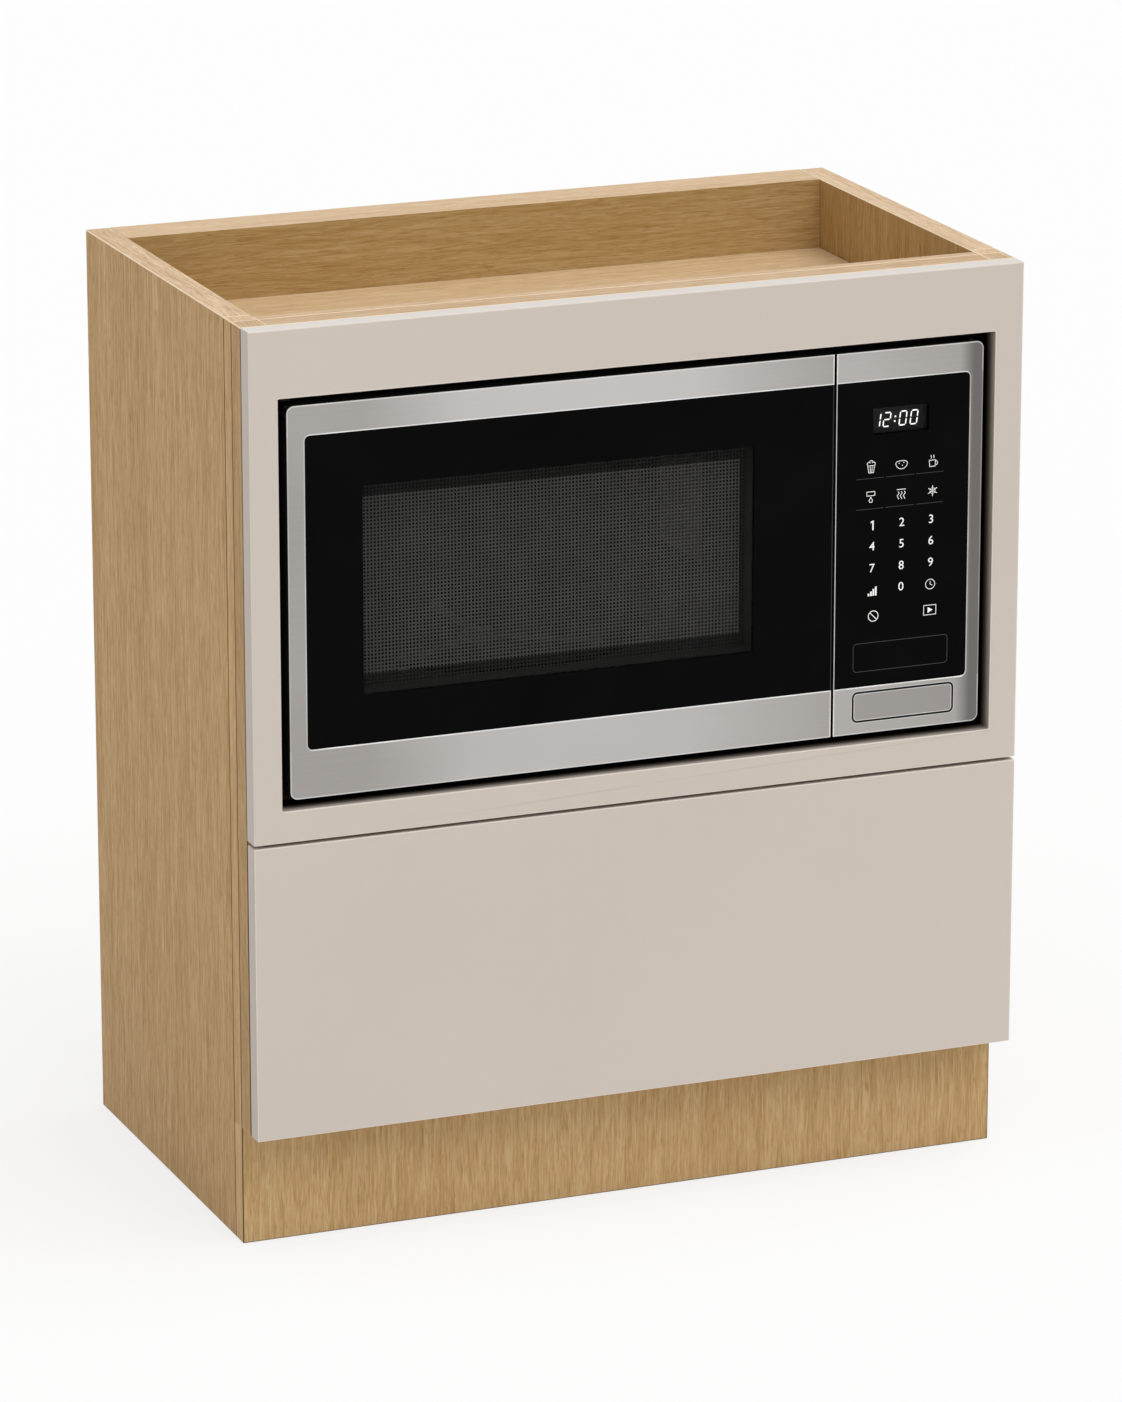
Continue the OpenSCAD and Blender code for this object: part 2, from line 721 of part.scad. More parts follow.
// Square shroud on the rear sheet, with the motor held by four struts.
module fan_housing() color(PLASTIC) difference() {
    union() {
        difference() {
            block([fan_x - fan_bore - fan_wall, fan_x + fan_bore + fan_wall], fan_y,
                [fan_z - fan_bore - fan_wall, fan_z + fan_bore + fan_wall]);
            rod_y(fan_bore, fan_x, [fan_y[0] - cut, fan_y[1] + cut], fan_z);
        }
        for (a = [45:90:315]) translate([fan_x, 0, fan_z]) rotate([0, a, 0])
            block([fan_motor_r - cut, fan_bore + fan_wall], [fan_y[0] - strut_t, fan_y[0]],
                [-strut_t, strut_t]);
        rod_y(fan_motor_r, fan_x, [fan_y[0] - fan_motor_l, fan_y[0]], fan_z);
    }
    rod_y(fan_shaft_r + shaft_gap, fan_x, [fan_y[0] - fan_motor_l + strut_t, fan_y[0] + cut], fan_z);
}

module fan_blade() color(BLACK) {
    rod_y(fan_shaft_r, fan_x, [fan_y[0] - fan_motor_l / 2, fan_y[0] + fan_hub_gap], fan_z);
    rod_y(fan_motor_r * 0.8, fan_x, [fan_y[0] + fan_hub_gap, fan_y[1] - fan_hub_gap], fan_z);
    for (i = [0:blade_count - 1]) translate([fan_x, (fan_y[0] + fan_y[1]) / 2, fan_z])
        rotate([0, i * 360 / blade_count, 0]) rotate([blade_tilt, 0, 0])
            block([fan_motor_r * 0.7, fan_bore - blade_gap], [-blade_t / 2, blade_t / 2],
                [-blade_w / 2, blade_w / 2]);
}

// Bush that the mains lead comes out of.
module power_inlet() color(BLACK) difference() {
    union() {
        rod_y(lead_r, port_x, [case_y1 - sheet, case_y1 + bush_l], inlet_z);
        rod_y(lead_r + grommet_t, port_x, [case_y1, case_y1 + grommet_t], inlet_z);
    }
    rod_y(lead_r - bush_wall, port_x, [case_y1 - sheet - cut, case_y1 + bush_l + cut], inlet_z);
}

// Plastic housing behind the front plate that the door hooks and the button's stem reach into.
module interlock_housing() color("ivory") difference() {
    union() {
        block([hook_x - lock_w / 2, hook_x + lock_w / 2], [plate_y1, plate_y1 + lock_d],
            [stem_z - lock_w / 2, hook_z[1] + lock_w / 2]);
        block([hook_x, stem_x + lock_w / 2], [plate_y1, plate_y1 + lock_d],
            [stem_z - lock_w / 2, stem_z + lock_w / 2]);
    }
    hook_slots([plate_y1 - cut, plate_y1 + lock_d - lock_wall]);
    stem_slot([plate_y1 - cut, plate_y1 + lock_d - lock_wall], cut);
}

// ---------- Turntable ----------

module turntable_motor() color(ZINC) difference() {
    union() {
        rod_z(motor_r, mid_x, mid_y, [motor_z, cavity_z[0] - sheet]);
        block([mid_x - motor_r - ear_l, mid_x + motor_r + ear_l], [mid_y - ear_l, mid_y + ear_l],
            [cavity_z[0] - sheet * 2, cavity_z[0] - sheet]);
    }
    rod_z(shaft_r + shaft_gap, mid_x, mid_y, [motor_z + sheet, cavity_z[0]]);
}

// Drive shaft with a three-lobed head that turns the tray.
module turntable_coupler() color("ivory") {
    rod_z(shaft_r, mid_x, mid_y, [motor_z + sheet * 2, cavity_z[0] + head_lift]);
    rod_z(head_r * 0.6, mid_x, mid_y, [cavity_z[0] + head_lift, dish_z]);
    for (i = [0:2]) translate([mid_x, mid_y, 0]) rotate([0, 0, i * 120])
        block([0, head_r], [-shaft_r, shaft_r], [cavity_z[0] + head_lift, dish_z]);
}

// Glass dish with a sloping rim.
module turntable_tray() color("lightcyan")
    translate([mid_x, mid_y, dish_z]) rotate_extrude($fn = 96) polygon([
        [0, 0], [tray_r - rim_h * 1.5, 0], [tray_r, rim_h - rim_t], [tray_r, rim_h],
        [tray_r - rim_t, rim_h], [tray_r - rim_h * 1.5 - rim_t, dish_t], [0, dish_t]]);

module on_track(i) translate([mid_x, mid_y, roller_mid]) rotate([0, 0, wheel_turn + i * 120]) children();

// Ring around the coupler with three arms, each ending in an axle.
module roller_ring() color("white") {
    difference() {
        rod_z(head_r + ring_gap + ring_w, mid_x, mid_y, [roller_mid - ring_t / 2, roller_mid + ring_t / 2]);
        rod_z(head_r + ring_gap, mid_x, mid_y, [roller_mid - ring_t, roller_mid + ring_t]);
    }
    for (i = [1:3]) on_track(i) {
        block([head_r + ring_gap + ring_w / 2, roller_track - wheel_w / 2 - run], [-ring_w / 2, ring_w / 2],
            [-ring_t / 2, ring_t / 2]);
        rod_x(axle_r, [roller_track - wheel_w, roller_track + wheel_w], 0, 0);
        rod_x(axle_r * 2, [roller_track + wheel_w / 2 + run, roller_track + wheel_w], 0, 0);
    }
}

module roller_wheel(i) color("white") on_track(i) difference() {
    rod_x(roller_r, [roller_track - wheel_w / 2, roller_track + wheel_w / 2], 0, 0);
    rod_x(axle_r + shaft_gap, [roller_track - wheel_w, roller_track + wheel_w], 0, 0);
}

// ---------- Control panel ----------

// Brushed steel skin around the control glass. The button comes through its lower band.
module control_bezel() color(STEEL) difference() {
    slab([oven_y, skin_y]) rounded([panel_x0, oven_x1], [oven_z0, oven_z1], [0, corner_r, corner_r, 0]);
    band_pocket([panel_x0, oven_x1], [glass_z1, oven_z1]);
    slab([oven_y - cut, glass_y + glass_t])
        rounded([panel_x0 + edge_t, glass_x1], [glass_z0, glass_z1], [0, glass_r, glass_r, 0]);
    block(display_x, [oven_y, skin_y + cut], display_z);
    slab([oven_y - cut, skin_y + cut])
        rounded([button_x[0] - button_gap, button_x[1] + button_gap],
            [button_z[0] - button_gap, button_z[1] + button_gap], [for (i = [0:3]) button_r + button_gap]);
}

module control_glass() color(GLASS) slab([glass_y, glass_y + glass_t])
    rounded([panel_x0 + edge_t, glass_x1], [glass_z0, glass_z1], [0, glass_r, glass_r, 0]);

// Moulded frame between the skin and the front plate, with a sleeve that guides the button's stem.
module control_housing() color(PLASTIC) {
    difference() {
        block([panel_x0 + house_in, oven_x1 - house_in], [skin_y, plate_y0],
            [oven_z0 + house_in, oven_z1 - house_in]);
        block([panel_x0 + house_in + house_t, oven_x1 - house_in - house_t], [skin_y - cut, plate_y0 + cut],
            [oven_z0 + house_in + house_t, oven_z1 - house_in - house_t]);
    }
    difference() {
        block([stem_x - stem_w / 2 - house_t, stem_x + stem_w / 2 + house_t],
            [button_y1 + button_travel + cut, plate_y0],
            [oven_z0 + house_in, stem_z + stem_w / 2 + house_t]);
        stem_slot([skin_y, plate_y0 + cut], run);
    }
}

// Circuit board between the housing's walls, with the display module that reaches the glass.
module control_board() color("darkgreen") {
    block([panel_x0 + house_in + house_t, oven_x1 - house_in - house_t], [pcb_y, pcb_y + pcb_t],
        [glass_z0 + board_in, glass_z1 - board_in]);
    block(display_x, [glass_y + glass_t, pcb_y], display_z);
}

module release_button() color(STEEL) {
    slab([oven_y, button_y1]) rounded(button_x, button_z, [for (i = [0:3]) button_r]);
    block([button_x[0] - button_lap, button_x[1] + button_lap], [skin_y + run, button_y1],
        [button_z[0] - button_lap, button_z[1] + button_lap]);
    stem_slot([button_y1, plate_y1 + stem_reach], 0);
}

// ---------- Door ----------

// A shape at the oven's top and, mirrored, at its bottom.
module top_and_low() {
    children();
    translate([0, 0, oven_z0 + oven_z1]) mirror([0, 0, 1]) children();
}

// Two bent steel brackets on the front plate, each with a pin that the door turns on.
module hinge_brackets() color(ZINC) top_and_low() {
    block([pivot_x - pin_r - pin_edge, pivot_x + bracket_w], [pivot_y, plate_y0],
        [bracket_z, bracket_z + bracket_t]);
    rod_z(pin_r + pin_edge, pivot_x, pivot_y, [bracket_z, bracket_z + bracket_t]);
    block([pivot_x - pin_r - pin_edge, pivot_x + bracket_w], [plate_y0 - bracket_t, plate_y0],
        [bracket_z, oven_z1 - plate_in]);
    rod_z(pin_r, pivot_x, pivot_y, [bracket_z, bracket_z + bracket_t + pin_l]);
}

// The hollow behind one of the steel skin's bands.
module band_pocket(x, z)
    block([x[0] + rim_w, x[1] - rim_w], [oven_y + band_t, skin_y + cut], [z[0] + rim_w, z[1] - rim_w]);

// Brushed steel door skin with its returned rim and the two bosses that turn on the pins.
module door_frame() color(STEEL) difference() {
    union() {
        difference() {
            slab([oven_y, skin_y + rim_d])
                rounded([oven_x0, door_x1], [oven_z0, oven_z1], [corner_r, 0, 0, corner_r]);
            block([oven_x0 + rim_w, door_x1 - rim_w], [skin_y, door_y1], [oven_z0 + rim_w, oven_z1 - rim_w]);
            band_pocket([oven_x0, door_x1], [oven_z0, glass_z0]);
            band_pocket([oven_x0, door_x1], [glass_z1, oven_z1]);
        }
        top_and_low() block([oven_x0 + cut, pivot_x + boss], [skin_y - cut, pivot_y + boss],
            [bracket_z + bracket_t + cut, oven_z1 - cut]);
    }
    slab([oven_y - cut, glass_y + glass_t])
        rounded([glass_x0, door_x1 - edge_t], [glass_z0, glass_z1], [glass_r, 0, 0, glass_r]);
    slab([oven_y, skin_y + cut]) rounded(win_x, win_z, [for (i = [0:3]) win_r]);
    top_and_low() {
        block([oven_x0 - cut, oven_x0 + rim_w + cut], [skin_y, skin_y + rim_d + cut],
            [bracket_z - cut, bracket_z + bracket_t + cut]);
        rod_z(pin_r + shaft_gap, pivot_x, pivot_y, [bracket_z, bracket_z + bracket_t + pin_l + cut / 2]);
    }
}

module door_glass() color(GLASS) slab([glass_y, glass_y + glass_t])
    rounded([glass_x0, door_x1 - edge_t], [glass_z0, glass_z1], [glass_r, 0, 0, glass_r]);

module latch_bar_space() block(
    [hook_x - bar_w / 2, hook_x + bar_w / 2], [door_y1 - bar_t, door_y1],
    [hook_z[0] - bar_w, hook_z[1] + bar_w]);

// Black inner panel that closes the door's back and seals the cavity. The screen sits in its rebate.
module door_inner_panel() color(BLACK) difference() {
    block(inner_x, [skin_y, door_y1], inner_z);
    difference() {
        block([inner_x[0] + choke_t, hook_x - bar_w], [skin_y - cut, door_y1 - choke_t],
            [inner_z[0] + choke_t, inner_z[1] - choke_t]);
        block([win_x[0] - screen_seat - choke_t, win_x[1] + screen_seat + choke_t], [skin_y - cut, door_y1],
            [win_z[0] - screen_seat - choke_t, win_z[1] + screen_seat + choke_t]);
    }
    slab([skin_y - cut, door_y1 + cut]) rounded(win_x, win_z, [for (i = [0:3]) win_r]);
    block([win_x[0] - screen_seat, win_x[1] + screen_seat], [screen_y, door_y1 + cut],
        [win_z[0] - screen_seat, win_z[1] + screen_seat]);
    latch_bar_space();
}

module door_screen() color(SHEET)
    block([win_x[0] - screen_seat, win_x[1] + screen_seat], [screen_y, screen_y + screen_t],
        [win_z[0] - screen_seat, win_z[1] + screen_seat]);

// Bar in the inner panel with two hooks that reach through the front plate.
module door_latch_bar() color("ivory") {
    latch_bar_space();
    for (z = hook_z) {
        block([hook_x - hook_w / 2, hook_x + hook_w / 2], [door_y1, plate_y1 + hook_l],
            [z - hook_h / 4, z + hook_h / 4]);
        block([hook_x - hook_w / 2, hook_x + hook_w / 2], [plate_y1 + hook_l * 0.6, plate_y1 + hook_l],
            [z - hook_h / 2, z + hook_h / 4]);
    }
}

side_panel(-1);  // side_panel_left
side_panel(1);  // side_panel_right
side_lippings();
toe_board();
bottom_panel();
appliance_shelf();
top_deck();
rear_top_rail();
back_panel();
cable_grommet();
frame_stiles();
frame_top_rail();
frame_mid_rail();
frame_bottom_rail();
deck_apron();
support_cleats();
fascia_panel();
runner_cabinet_members();
runner_middle_members();
runner_drawer_members();
push_latch_housing();
push_latch_plunger();
drawer_front();
drawer_sides();
drawer_box_front();
drawer_box_back();
drawer_bottom();
drawer_bumpers();
oven_case();
oven_base();
oven_back();
oven_front_plate();
oven_cavity();
oven_feet();
cavity_lamp();
waveguide_cover();
magnetron();
inverter_board();
fan_housing();
fan_blade();
power_inlet();
interlock_housing();
turntable_motor();
turntable_coupler();
turntable_tray();
roller_ring();
roller_wheel(1);  // roller_wheel_1
roller_wheel(2);  // roller_wheel_2
roller_wheel(3);  // roller_wheel_3
control_bezel();
control_glass();
control_housing();
control_board();
release_button();
hinge_brackets();
door_frame();
door_glass();
door_inner_panel();
door_screen();
door_latch_bar();
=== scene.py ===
import math

import bmesh
import bpy
from mathutils import Matrix, Vector


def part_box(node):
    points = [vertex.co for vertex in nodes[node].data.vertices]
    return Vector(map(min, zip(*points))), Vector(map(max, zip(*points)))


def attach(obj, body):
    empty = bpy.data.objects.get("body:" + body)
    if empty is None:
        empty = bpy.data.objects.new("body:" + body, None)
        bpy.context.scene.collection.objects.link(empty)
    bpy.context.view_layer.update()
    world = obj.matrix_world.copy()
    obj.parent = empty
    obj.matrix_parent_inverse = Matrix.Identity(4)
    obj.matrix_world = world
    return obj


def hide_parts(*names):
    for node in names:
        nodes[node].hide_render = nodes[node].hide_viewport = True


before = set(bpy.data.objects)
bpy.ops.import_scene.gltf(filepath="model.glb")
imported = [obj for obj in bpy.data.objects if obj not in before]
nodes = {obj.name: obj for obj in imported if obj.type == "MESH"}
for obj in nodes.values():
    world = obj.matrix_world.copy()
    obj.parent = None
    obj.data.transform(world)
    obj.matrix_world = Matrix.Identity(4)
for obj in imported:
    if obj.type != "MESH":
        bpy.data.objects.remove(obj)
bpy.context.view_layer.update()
scene = bpy.context.scene


# ---------- Studio ----------
# A pale seamless floor, an even pale sky and three distant soft lamps. The camera stands in front
# of the cabinet's left end and looks slightly down on it.

class Amount:
    """A number that varies over a surface. Python's operators on it add Math nodes."""

    def __init__(self, tree, socket):
        self.tree, self.socket = tree, socket

    def math(self, kind, *terms):
        made = self.tree.node("ShaderNodeMath", {"operation": kind}, dict(enumerate(terms)))
        return Amount(self.tree, made.outputs[0])

    def __add__(self, other):
        return self.math("ADD", self, other)

    def __sub__(self, other):
        return self.math("SUBTRACT", self, other)

    def __rsub__(self, other):
        return self.math("SUBTRACT", other, self)

    def __mul__(self, other):
        return self.math("MULTIPLY", self, other)

    def __gt__(self, other):
        return self.math("GREATER_THAN", self, other)

    def __lt__(self, other):
        return self.math("LESS_THAN", self, other)

    def __abs__(self):
        return self.math("ABSOLUTE", self)

    def larger(self, other):
        return self.math("MAXIMUM", self, other)

    __radd__, __rmul__ = __add__, __mul__


class Tree:
    """A node tree that is built up by one call for each node: its type, settings and sockets."""

    def __init__(self, tree):
        self.tree = tree

    def node(self, kind, settings={}, sockets={}):
        made = self.tree.nodes.new(kind)
        for name, value in settings.items():
            setattr(made, name, value)
        for key, value in sockets.items():
            self.feed(made.inputs[key], value)
        return made

    def feed(self, socket, value):
        if isinstance(value, Amount):
            value = value.socket
        if isinstance(value, bpy.types.Node):
            value = value.outputs[0]
        if isinstance(value, bpy.types.NodeSocket):
            self.tree.links.new(value, socket)
        else:
            socket.default_value = value


def paint(red, green, blue):
    """The linear colour of a paint chip that is given in screen values from 0 to 255."""
    chip = [value / 255 for value in (red, green, blue)]
    return tuple(c / 12.92 if c < 0.04045 else ((c + 0.055) / 1.055) ** 2.4 for c in chip) + (1,)


BACKGROUND = 0.978
FLOOR_HALF, FLOOR_LEVEL = 40, -0.0004
SHADOW_SHARE = 0.25
SKY_LIGHT = 0.58


def seen(tree):
    """1 for a ray from the camera, off a shiny surface or through glass, and 0 for other light."""
    rays = tree.node("ShaderNodeLightPath")
    camera, glossy, through = [Amount(tree, rays.outputs[kind]) for kind in (
        "Is Camera Ray", "Is Glossy Ray", "Is Transmission Ray")]
    return camera.larger(glossy).larger(through)


plane = bpy.data.meshes.new("studio_floor")
plane.from_pydata([(x * FLOOR_HALF, y * FLOOR_HALF, FLOOR_LEVEL)
                   for x, y in ((-1, -1), (1, -1), (1, 1), (-1, 1))], [], [(0, 1, 2, 3)])
floor = bpy.data.objects.new("studio_floor", plane)
scene.collection.objects.link(floor)

floor_paint = bpy.data.materials.new("studio_floor")
floor_paint.use_nodes = True
floor_paint.node_tree.nodes.clear()
tree = Tree(floor_paint.node_tree)
matt = tree.node("ShaderNodeBsdfDiffuse", {}, {"Color": paint(250, 250, 250)})
glow = tree.node("ShaderNodeEmission", {}, {"Color": (BACKGROUND,) * 3 + (1,), "Strength": 1.0})
blended = tree.node("ShaderNodeMixShader", {}, {
    0: seen(tree) * (1 - SHADOW_SHARE), 1: matt, 2: glow})
tree.node("ShaderNodeOutputMaterial", {}, {"Surface": blended})
plane.materials.append(floor_paint)

sky = bpy.data.worlds.new("studio_sky")
scene.world = sky
sky.use_nodes = True
sky.node_tree.nodes.clear()
tree = Tree(sky.node_tree)
air = tree.node("ShaderNodeBackground", {}, {
    "Color": (1, 1, 1, 1), "Strength": SKY_LIGHT + seen(tree) * (BACKGROUND - SKY_LIGHT)})
tree.node("ShaderNodeOutputWorld", {}, {"Surface": air})


def distant_lamp(name, towards, share, spread):
    """A lamp in that direction, which gives a face turned to it a share of full brightness."""
    light = bpy.data.lights.new(name, "SUN")
    light.energy = share * math.pi
    light.angle = math.radians(spread)
    lamp = bpy.data.objects.new(name, light)
    lamp.rotation_mode = "QUATERNION"
    lamp.rotation_quaternion = Vector(towards).to_track_quat("Z", "Y")
    scene.collection.objects.link(lamp)


distant_lamp("overhead_lamp", (0.35, -0.28, 1.0), 0.38, 55)
distant_lamp("left_lamp", (-1.0, -0.5, 0.4), 0.16, 70)
distant_lamp("front_lamp", (0.15, -1.0, 1.0), 0.11, 22)

VIEWPOINT = (-2.350, -5.8435, 2.274)
TURN, DIP = math.radians(22.0), math.radians(16.3)
FILM_WIDTH, FOCAL_LENGTH = 36, 176.8

lens = bpy.data.cameras.new("photo_view")
lens.sensor_width, lens.lens = FILM_WIDTH, FOCAL_LENGTH
lens.clip_start, lens.clip_end = 0.1, 100
camera = bpy.data.objects.new("photo_view", lens)
camera.location = VIEWPOINT
camera.rotation_euler = (math.pi / 2 - DIP, 0, -TURN)
scene.collection.objects.link(camera)
scene.camera = camera
scene.view_settings.view_transform = "Standard"


# ---------- Oak carcass ----------
# Side panels, shelves and back in white oak veneer on board, oiled matt, with solid oak lippings
# and a solid oak face frame glued on in front. Every arris is eased by less than a millimetre.

class Finish(Tree):
    """A material of one principled surface, with its patterns read in object coordinates."""

    def __init__(self, name, **constants):
        self.material = bpy.data.materials.new(name)
        self.material.use_nodes = True
        super().__init__(self.material.node_tree)
        self.tree.nodes.clear()
        self.shader = self.node("ShaderNodeBsdfPrincipled")
        self.node("ShaderNodeOutputMaterial", {}, {"Surface": self.shader})
        self.where = self.node("ShaderNodeTexCoord")
        for socket, value in constants.items():
            self.feed(self.shader.inputs[socket.replace("_", " ")], value)

    def set(self, socket, value):
        self.feed(self.shader.inputs[socket], value)

    def place(self, scale, shift=(0, 0, 0), source=None):
        return self.node("ShaderNodeMapping", {}, {
            "Vector": source or self.where.outputs["Object"], "Location": shift, "Scale": scale})

    def noise(self, scale, detail=2.0, rough=0.5, shift=(0, 0, 0), source=None, bend=0.0):
        """Cloudy noise from about 0.25 to 0.75, with scale in features for each metre."""
        made = self.node("ShaderNodeTexNoise", {}, {
            "Vector": self.place(scale, shift, source), "Scale": 1.0, "Detail": detail,
            "Roughness": rough, "Distortion": bend})
        return Amount(self, made.outputs["Fac"])

    def span(self, value, low, high, start=0.0, end=1.0):
        """value from low to high becomes start to end, and stays there outside."""
        made = self.node("ShaderNodeMapRange", {}, {
            "Value": value, "From Min": low, "From Max": high, "To Min": start, "To Max": end})
        return Amount(self, made.outputs[0])

    def mix(self, share, first, second):
        made = self.node("ShaderNodeMix", {"data_type": "RGBA"}, {0: share, 6: first, 7: second})
        return made.outputs[2]

    def bump(self, height, strength, depth):
        self.set("Normal", self.node("ShaderNodeBump", {}, {
            "Height": height, "Strength": strength, "Distance": depth}).outputs[0])

    def axes(self, source):
        parts = self.node("ShaderNodeSeparateXYZ", {}, {0: source})
        return [Amount(self, parts.outputs[i]) for i in range(3)]

    def spot(self):
        """Where the surface lies, in metres along X, Y and Z."""
        return self.axes(self.where.outputs["Object"])

    def facing(self):
        """The way the surface faces, from -1 to 1 along X, Y and Z."""
        return self.axes(self.where.outputs["Normal"])


def stretched(grain, across, along):
    """A noise scale that is drawn out along the grain's axis."""
    return tuple(along if axis == grain else across for axis in "XYZ")


STREAK_TINT = (0.84, 1.02, 1.20)
PORE_DEPTH = 2.4


def around(middle, reach):
    """A light and a dark colour at equal distances from a middle one, and a darker one for pores.
    Blue varies most, so that the dark streaks are warmer."""
    return [paint(*(value + step * part for value, part in zip(middle, STREAK_TINT)))
            for step in (reach, -reach, -PORE_DEPTH * reach)]


WANDER = 0.009
MOSTLY = 0.7
# Near black for faces round the oven: painted shade in the gap round the oven.
SHADE_BLACK = paint(13, 12, 11)


def oak(name, grain, shift, middle, reach, rim=None, bay_shade_mask=None):
    """White oak with its grain along one axis. middle and reach are its colour and its contrast,
    rim is the grain and the paler colour of its faces that look up, painted light from above, and
    the last argument picks out faces painted black as painted shade round the oven."""
    wood = Finish(name, IOR=1.42, Specular_IOR_Level=0.22)
    source = wood.where.outputs["Object"]
    upward = wood.facing()[2] > MOSTLY
    if rim and rim[0] != grain:
        # Two axes that change places turn the grain without another set of noises.
        x, y, z = wood.axes(source)
        swapped = {"YZ": (x, z, y), "XY": (y, x, z)}["".join(sorted(grain + rim[0]))]
        turned = wood.node("ShaderNodeCombineXYZ", {}, dict(enumerate(swapped)))
        source = wood.node("ShaderNodeMix", {"data_type": "VECTOR"},
                           {0: upward, 4: source, 5: turned}).outputs[1]
    # The fibres wander a few millimetres from straight.
    drift = wood.node("ShaderNodeTexNoise", {}, {
        "Vector": wood.place(stretched(grain, 26, 7), shift, source), "Scale": 1.0, "Detail": 2.0})
    centred = wood.node("ShaderNodeVectorMath", {"operation": "SUBTRACT"},
                        {0: drift.outputs["Color"], 1: (0.5, 0.5, 0.5)})
    source = wood.node("ShaderNodeVectorMath", {"operation": "MULTIPLY_ADD"},
                       {0: centred, 1: (WANDER,) * 3, 2: source}).outputs[0]

    def layer(across, along, detail=2.0, rough=0.5):
        """Noise with so many features for each metre across the grain and along it."""
        return wood.noise(stretched(grain, across, along), detail, rough,
                          tuple(3.7 * part for part in shift), source)

    broad = wood.span(layer(14, 0.9), 0.34, 0.66)
    figure = wood.span(layer(120, 5, 3), 0.36, 0.64)
    streak = wood.span(layer(430, 21, 3, 0.65), 0.36, 0.64)
    fibre = wood.span(layer(1000, 60, 2), 0.32, 0.68)
    vein = wood.span(layer(500, 30, 2), 0.60, 0.68)
    pore = wood.span(layer(1200, 70, 2), 0.58, 0.68)
    body = wood.span(broad * 0.13 + figure * 0.18 + streak * 0.42 + fibre * 0.27, 0.2, 0.8)
    light, dark, pored = around(middle, reach)
    # Faces that look up take the rim's grain and its paler colours, which are painted light from
    # above.
    if rim:
        light, dark, pored = [wood.mix(upward, below, above) for below, above in zip(
            (light, dark, pored), around(rim[1], reach))]
    colour = wood.mix(body, dark, light)
    colour = wood.mix((pore * 0.6).larger(vein * 0.5), colour, pored)
    # Faces round the oven are painted near black: painted shade in the gap round the oven.
    if bay_shade_mask:
        colour = wood.mix(bay_shade_mask(wood), colour, SHADE_BLACK)
    wood.set("Base Color", colour)
    wood.set("Roughness", wood.span(fibre, 0, 1, 0.50, 0.62) + pore * 0.1)
    wood.bump(streak * 0.5 + fibre * 0.3 - pore - vein, 0.4, 0.0003)
    return wood.material


SAME_POINT = 1e-6
FLAT_ANGLE, EDGE_ANGLE = math.radians(0.4), math.radians(35)
FLAT_WEIGHT = 80


def dress(node, material, arris_mm=0.0, segments=2, arris=None):
    """Gives a CAD node its finish, and eases its sharp edges with modifiers."""
    piece = nodes[node]
    piece.data.materials.clear()
    piece.data.materials.append(material)
    if arris:
        piece.data.materials.append(arris)
    if not arris_mm:
        return
    weld = piece.modifiers.new("joined", "WELD")
    weld.merge_threshold = SAME_POINT
    flat = piece.modifiers.new("flat_faces", "DECIMATE")
    flat.decimate_type = "DISSOLVE"
    flat.angle_limit = FLAT_ANGLE
    ease = piece.modifiers.new("eased", "BEVEL")
    ease.width = arris_mm / 1000
    ease.segments = segments
    ease.limit_method = "ANGLE"
    ease.angle_limit = EDGE_ANGLE
    ease.miter_outer = "MITER_ARC"
    if arris:
        ease.material = 1
    # The large faces keep the shading flat right up to their eased edges.
    shading = piece.modifiers.new("flat_shading", "WEIGHTED_NORMAL")
    shading.weight = FLAT_WEIGHT


BAY_HALF, BAY_FOOT, BAY_HEAD = 0.356, 0.425, 0.815
HAIR = 0.00015


def in_bay(wood, top, back):
    """Faces round the oven, up to a height and back to a depth, with a hair to spare."""
    x, y, z = wood.spot()
    return ((abs(x) < BAY_HALF + HAIR) * (y < back)) * ((z > BAY_FOOT - HAIR) * (z < top))


# The masks below pick the faces round the oven that get painted shade in black.
FRAME_SHADE_END, SIDE_SHADE_END, APRON_SHADE_END = -0.15, -0.1, -0.183
SIDE_SHADE_TOP = 0.8075


def round_oven(wood):
    return in_bay(wood, BAY_HEAD + HAIR, FRAME_SHADE_END)


def beside_oven(wood):
    return in_bay(wood, SIDE_SHADE_TOP, SIDE_SHADE_END)


def over_oven(wood):
    return in_bay(wood, BAY_HEAD + HAIR, APRON_SHADE_END)


FRAME_FRONT, FRAME_BACK, LIPPING_BACK = -0.2095, -0.1845, -0.1645
JOINT_REACH = 0.0012
RIM_EDGE, FOOT_EDGE = 0.8748, 0.0014


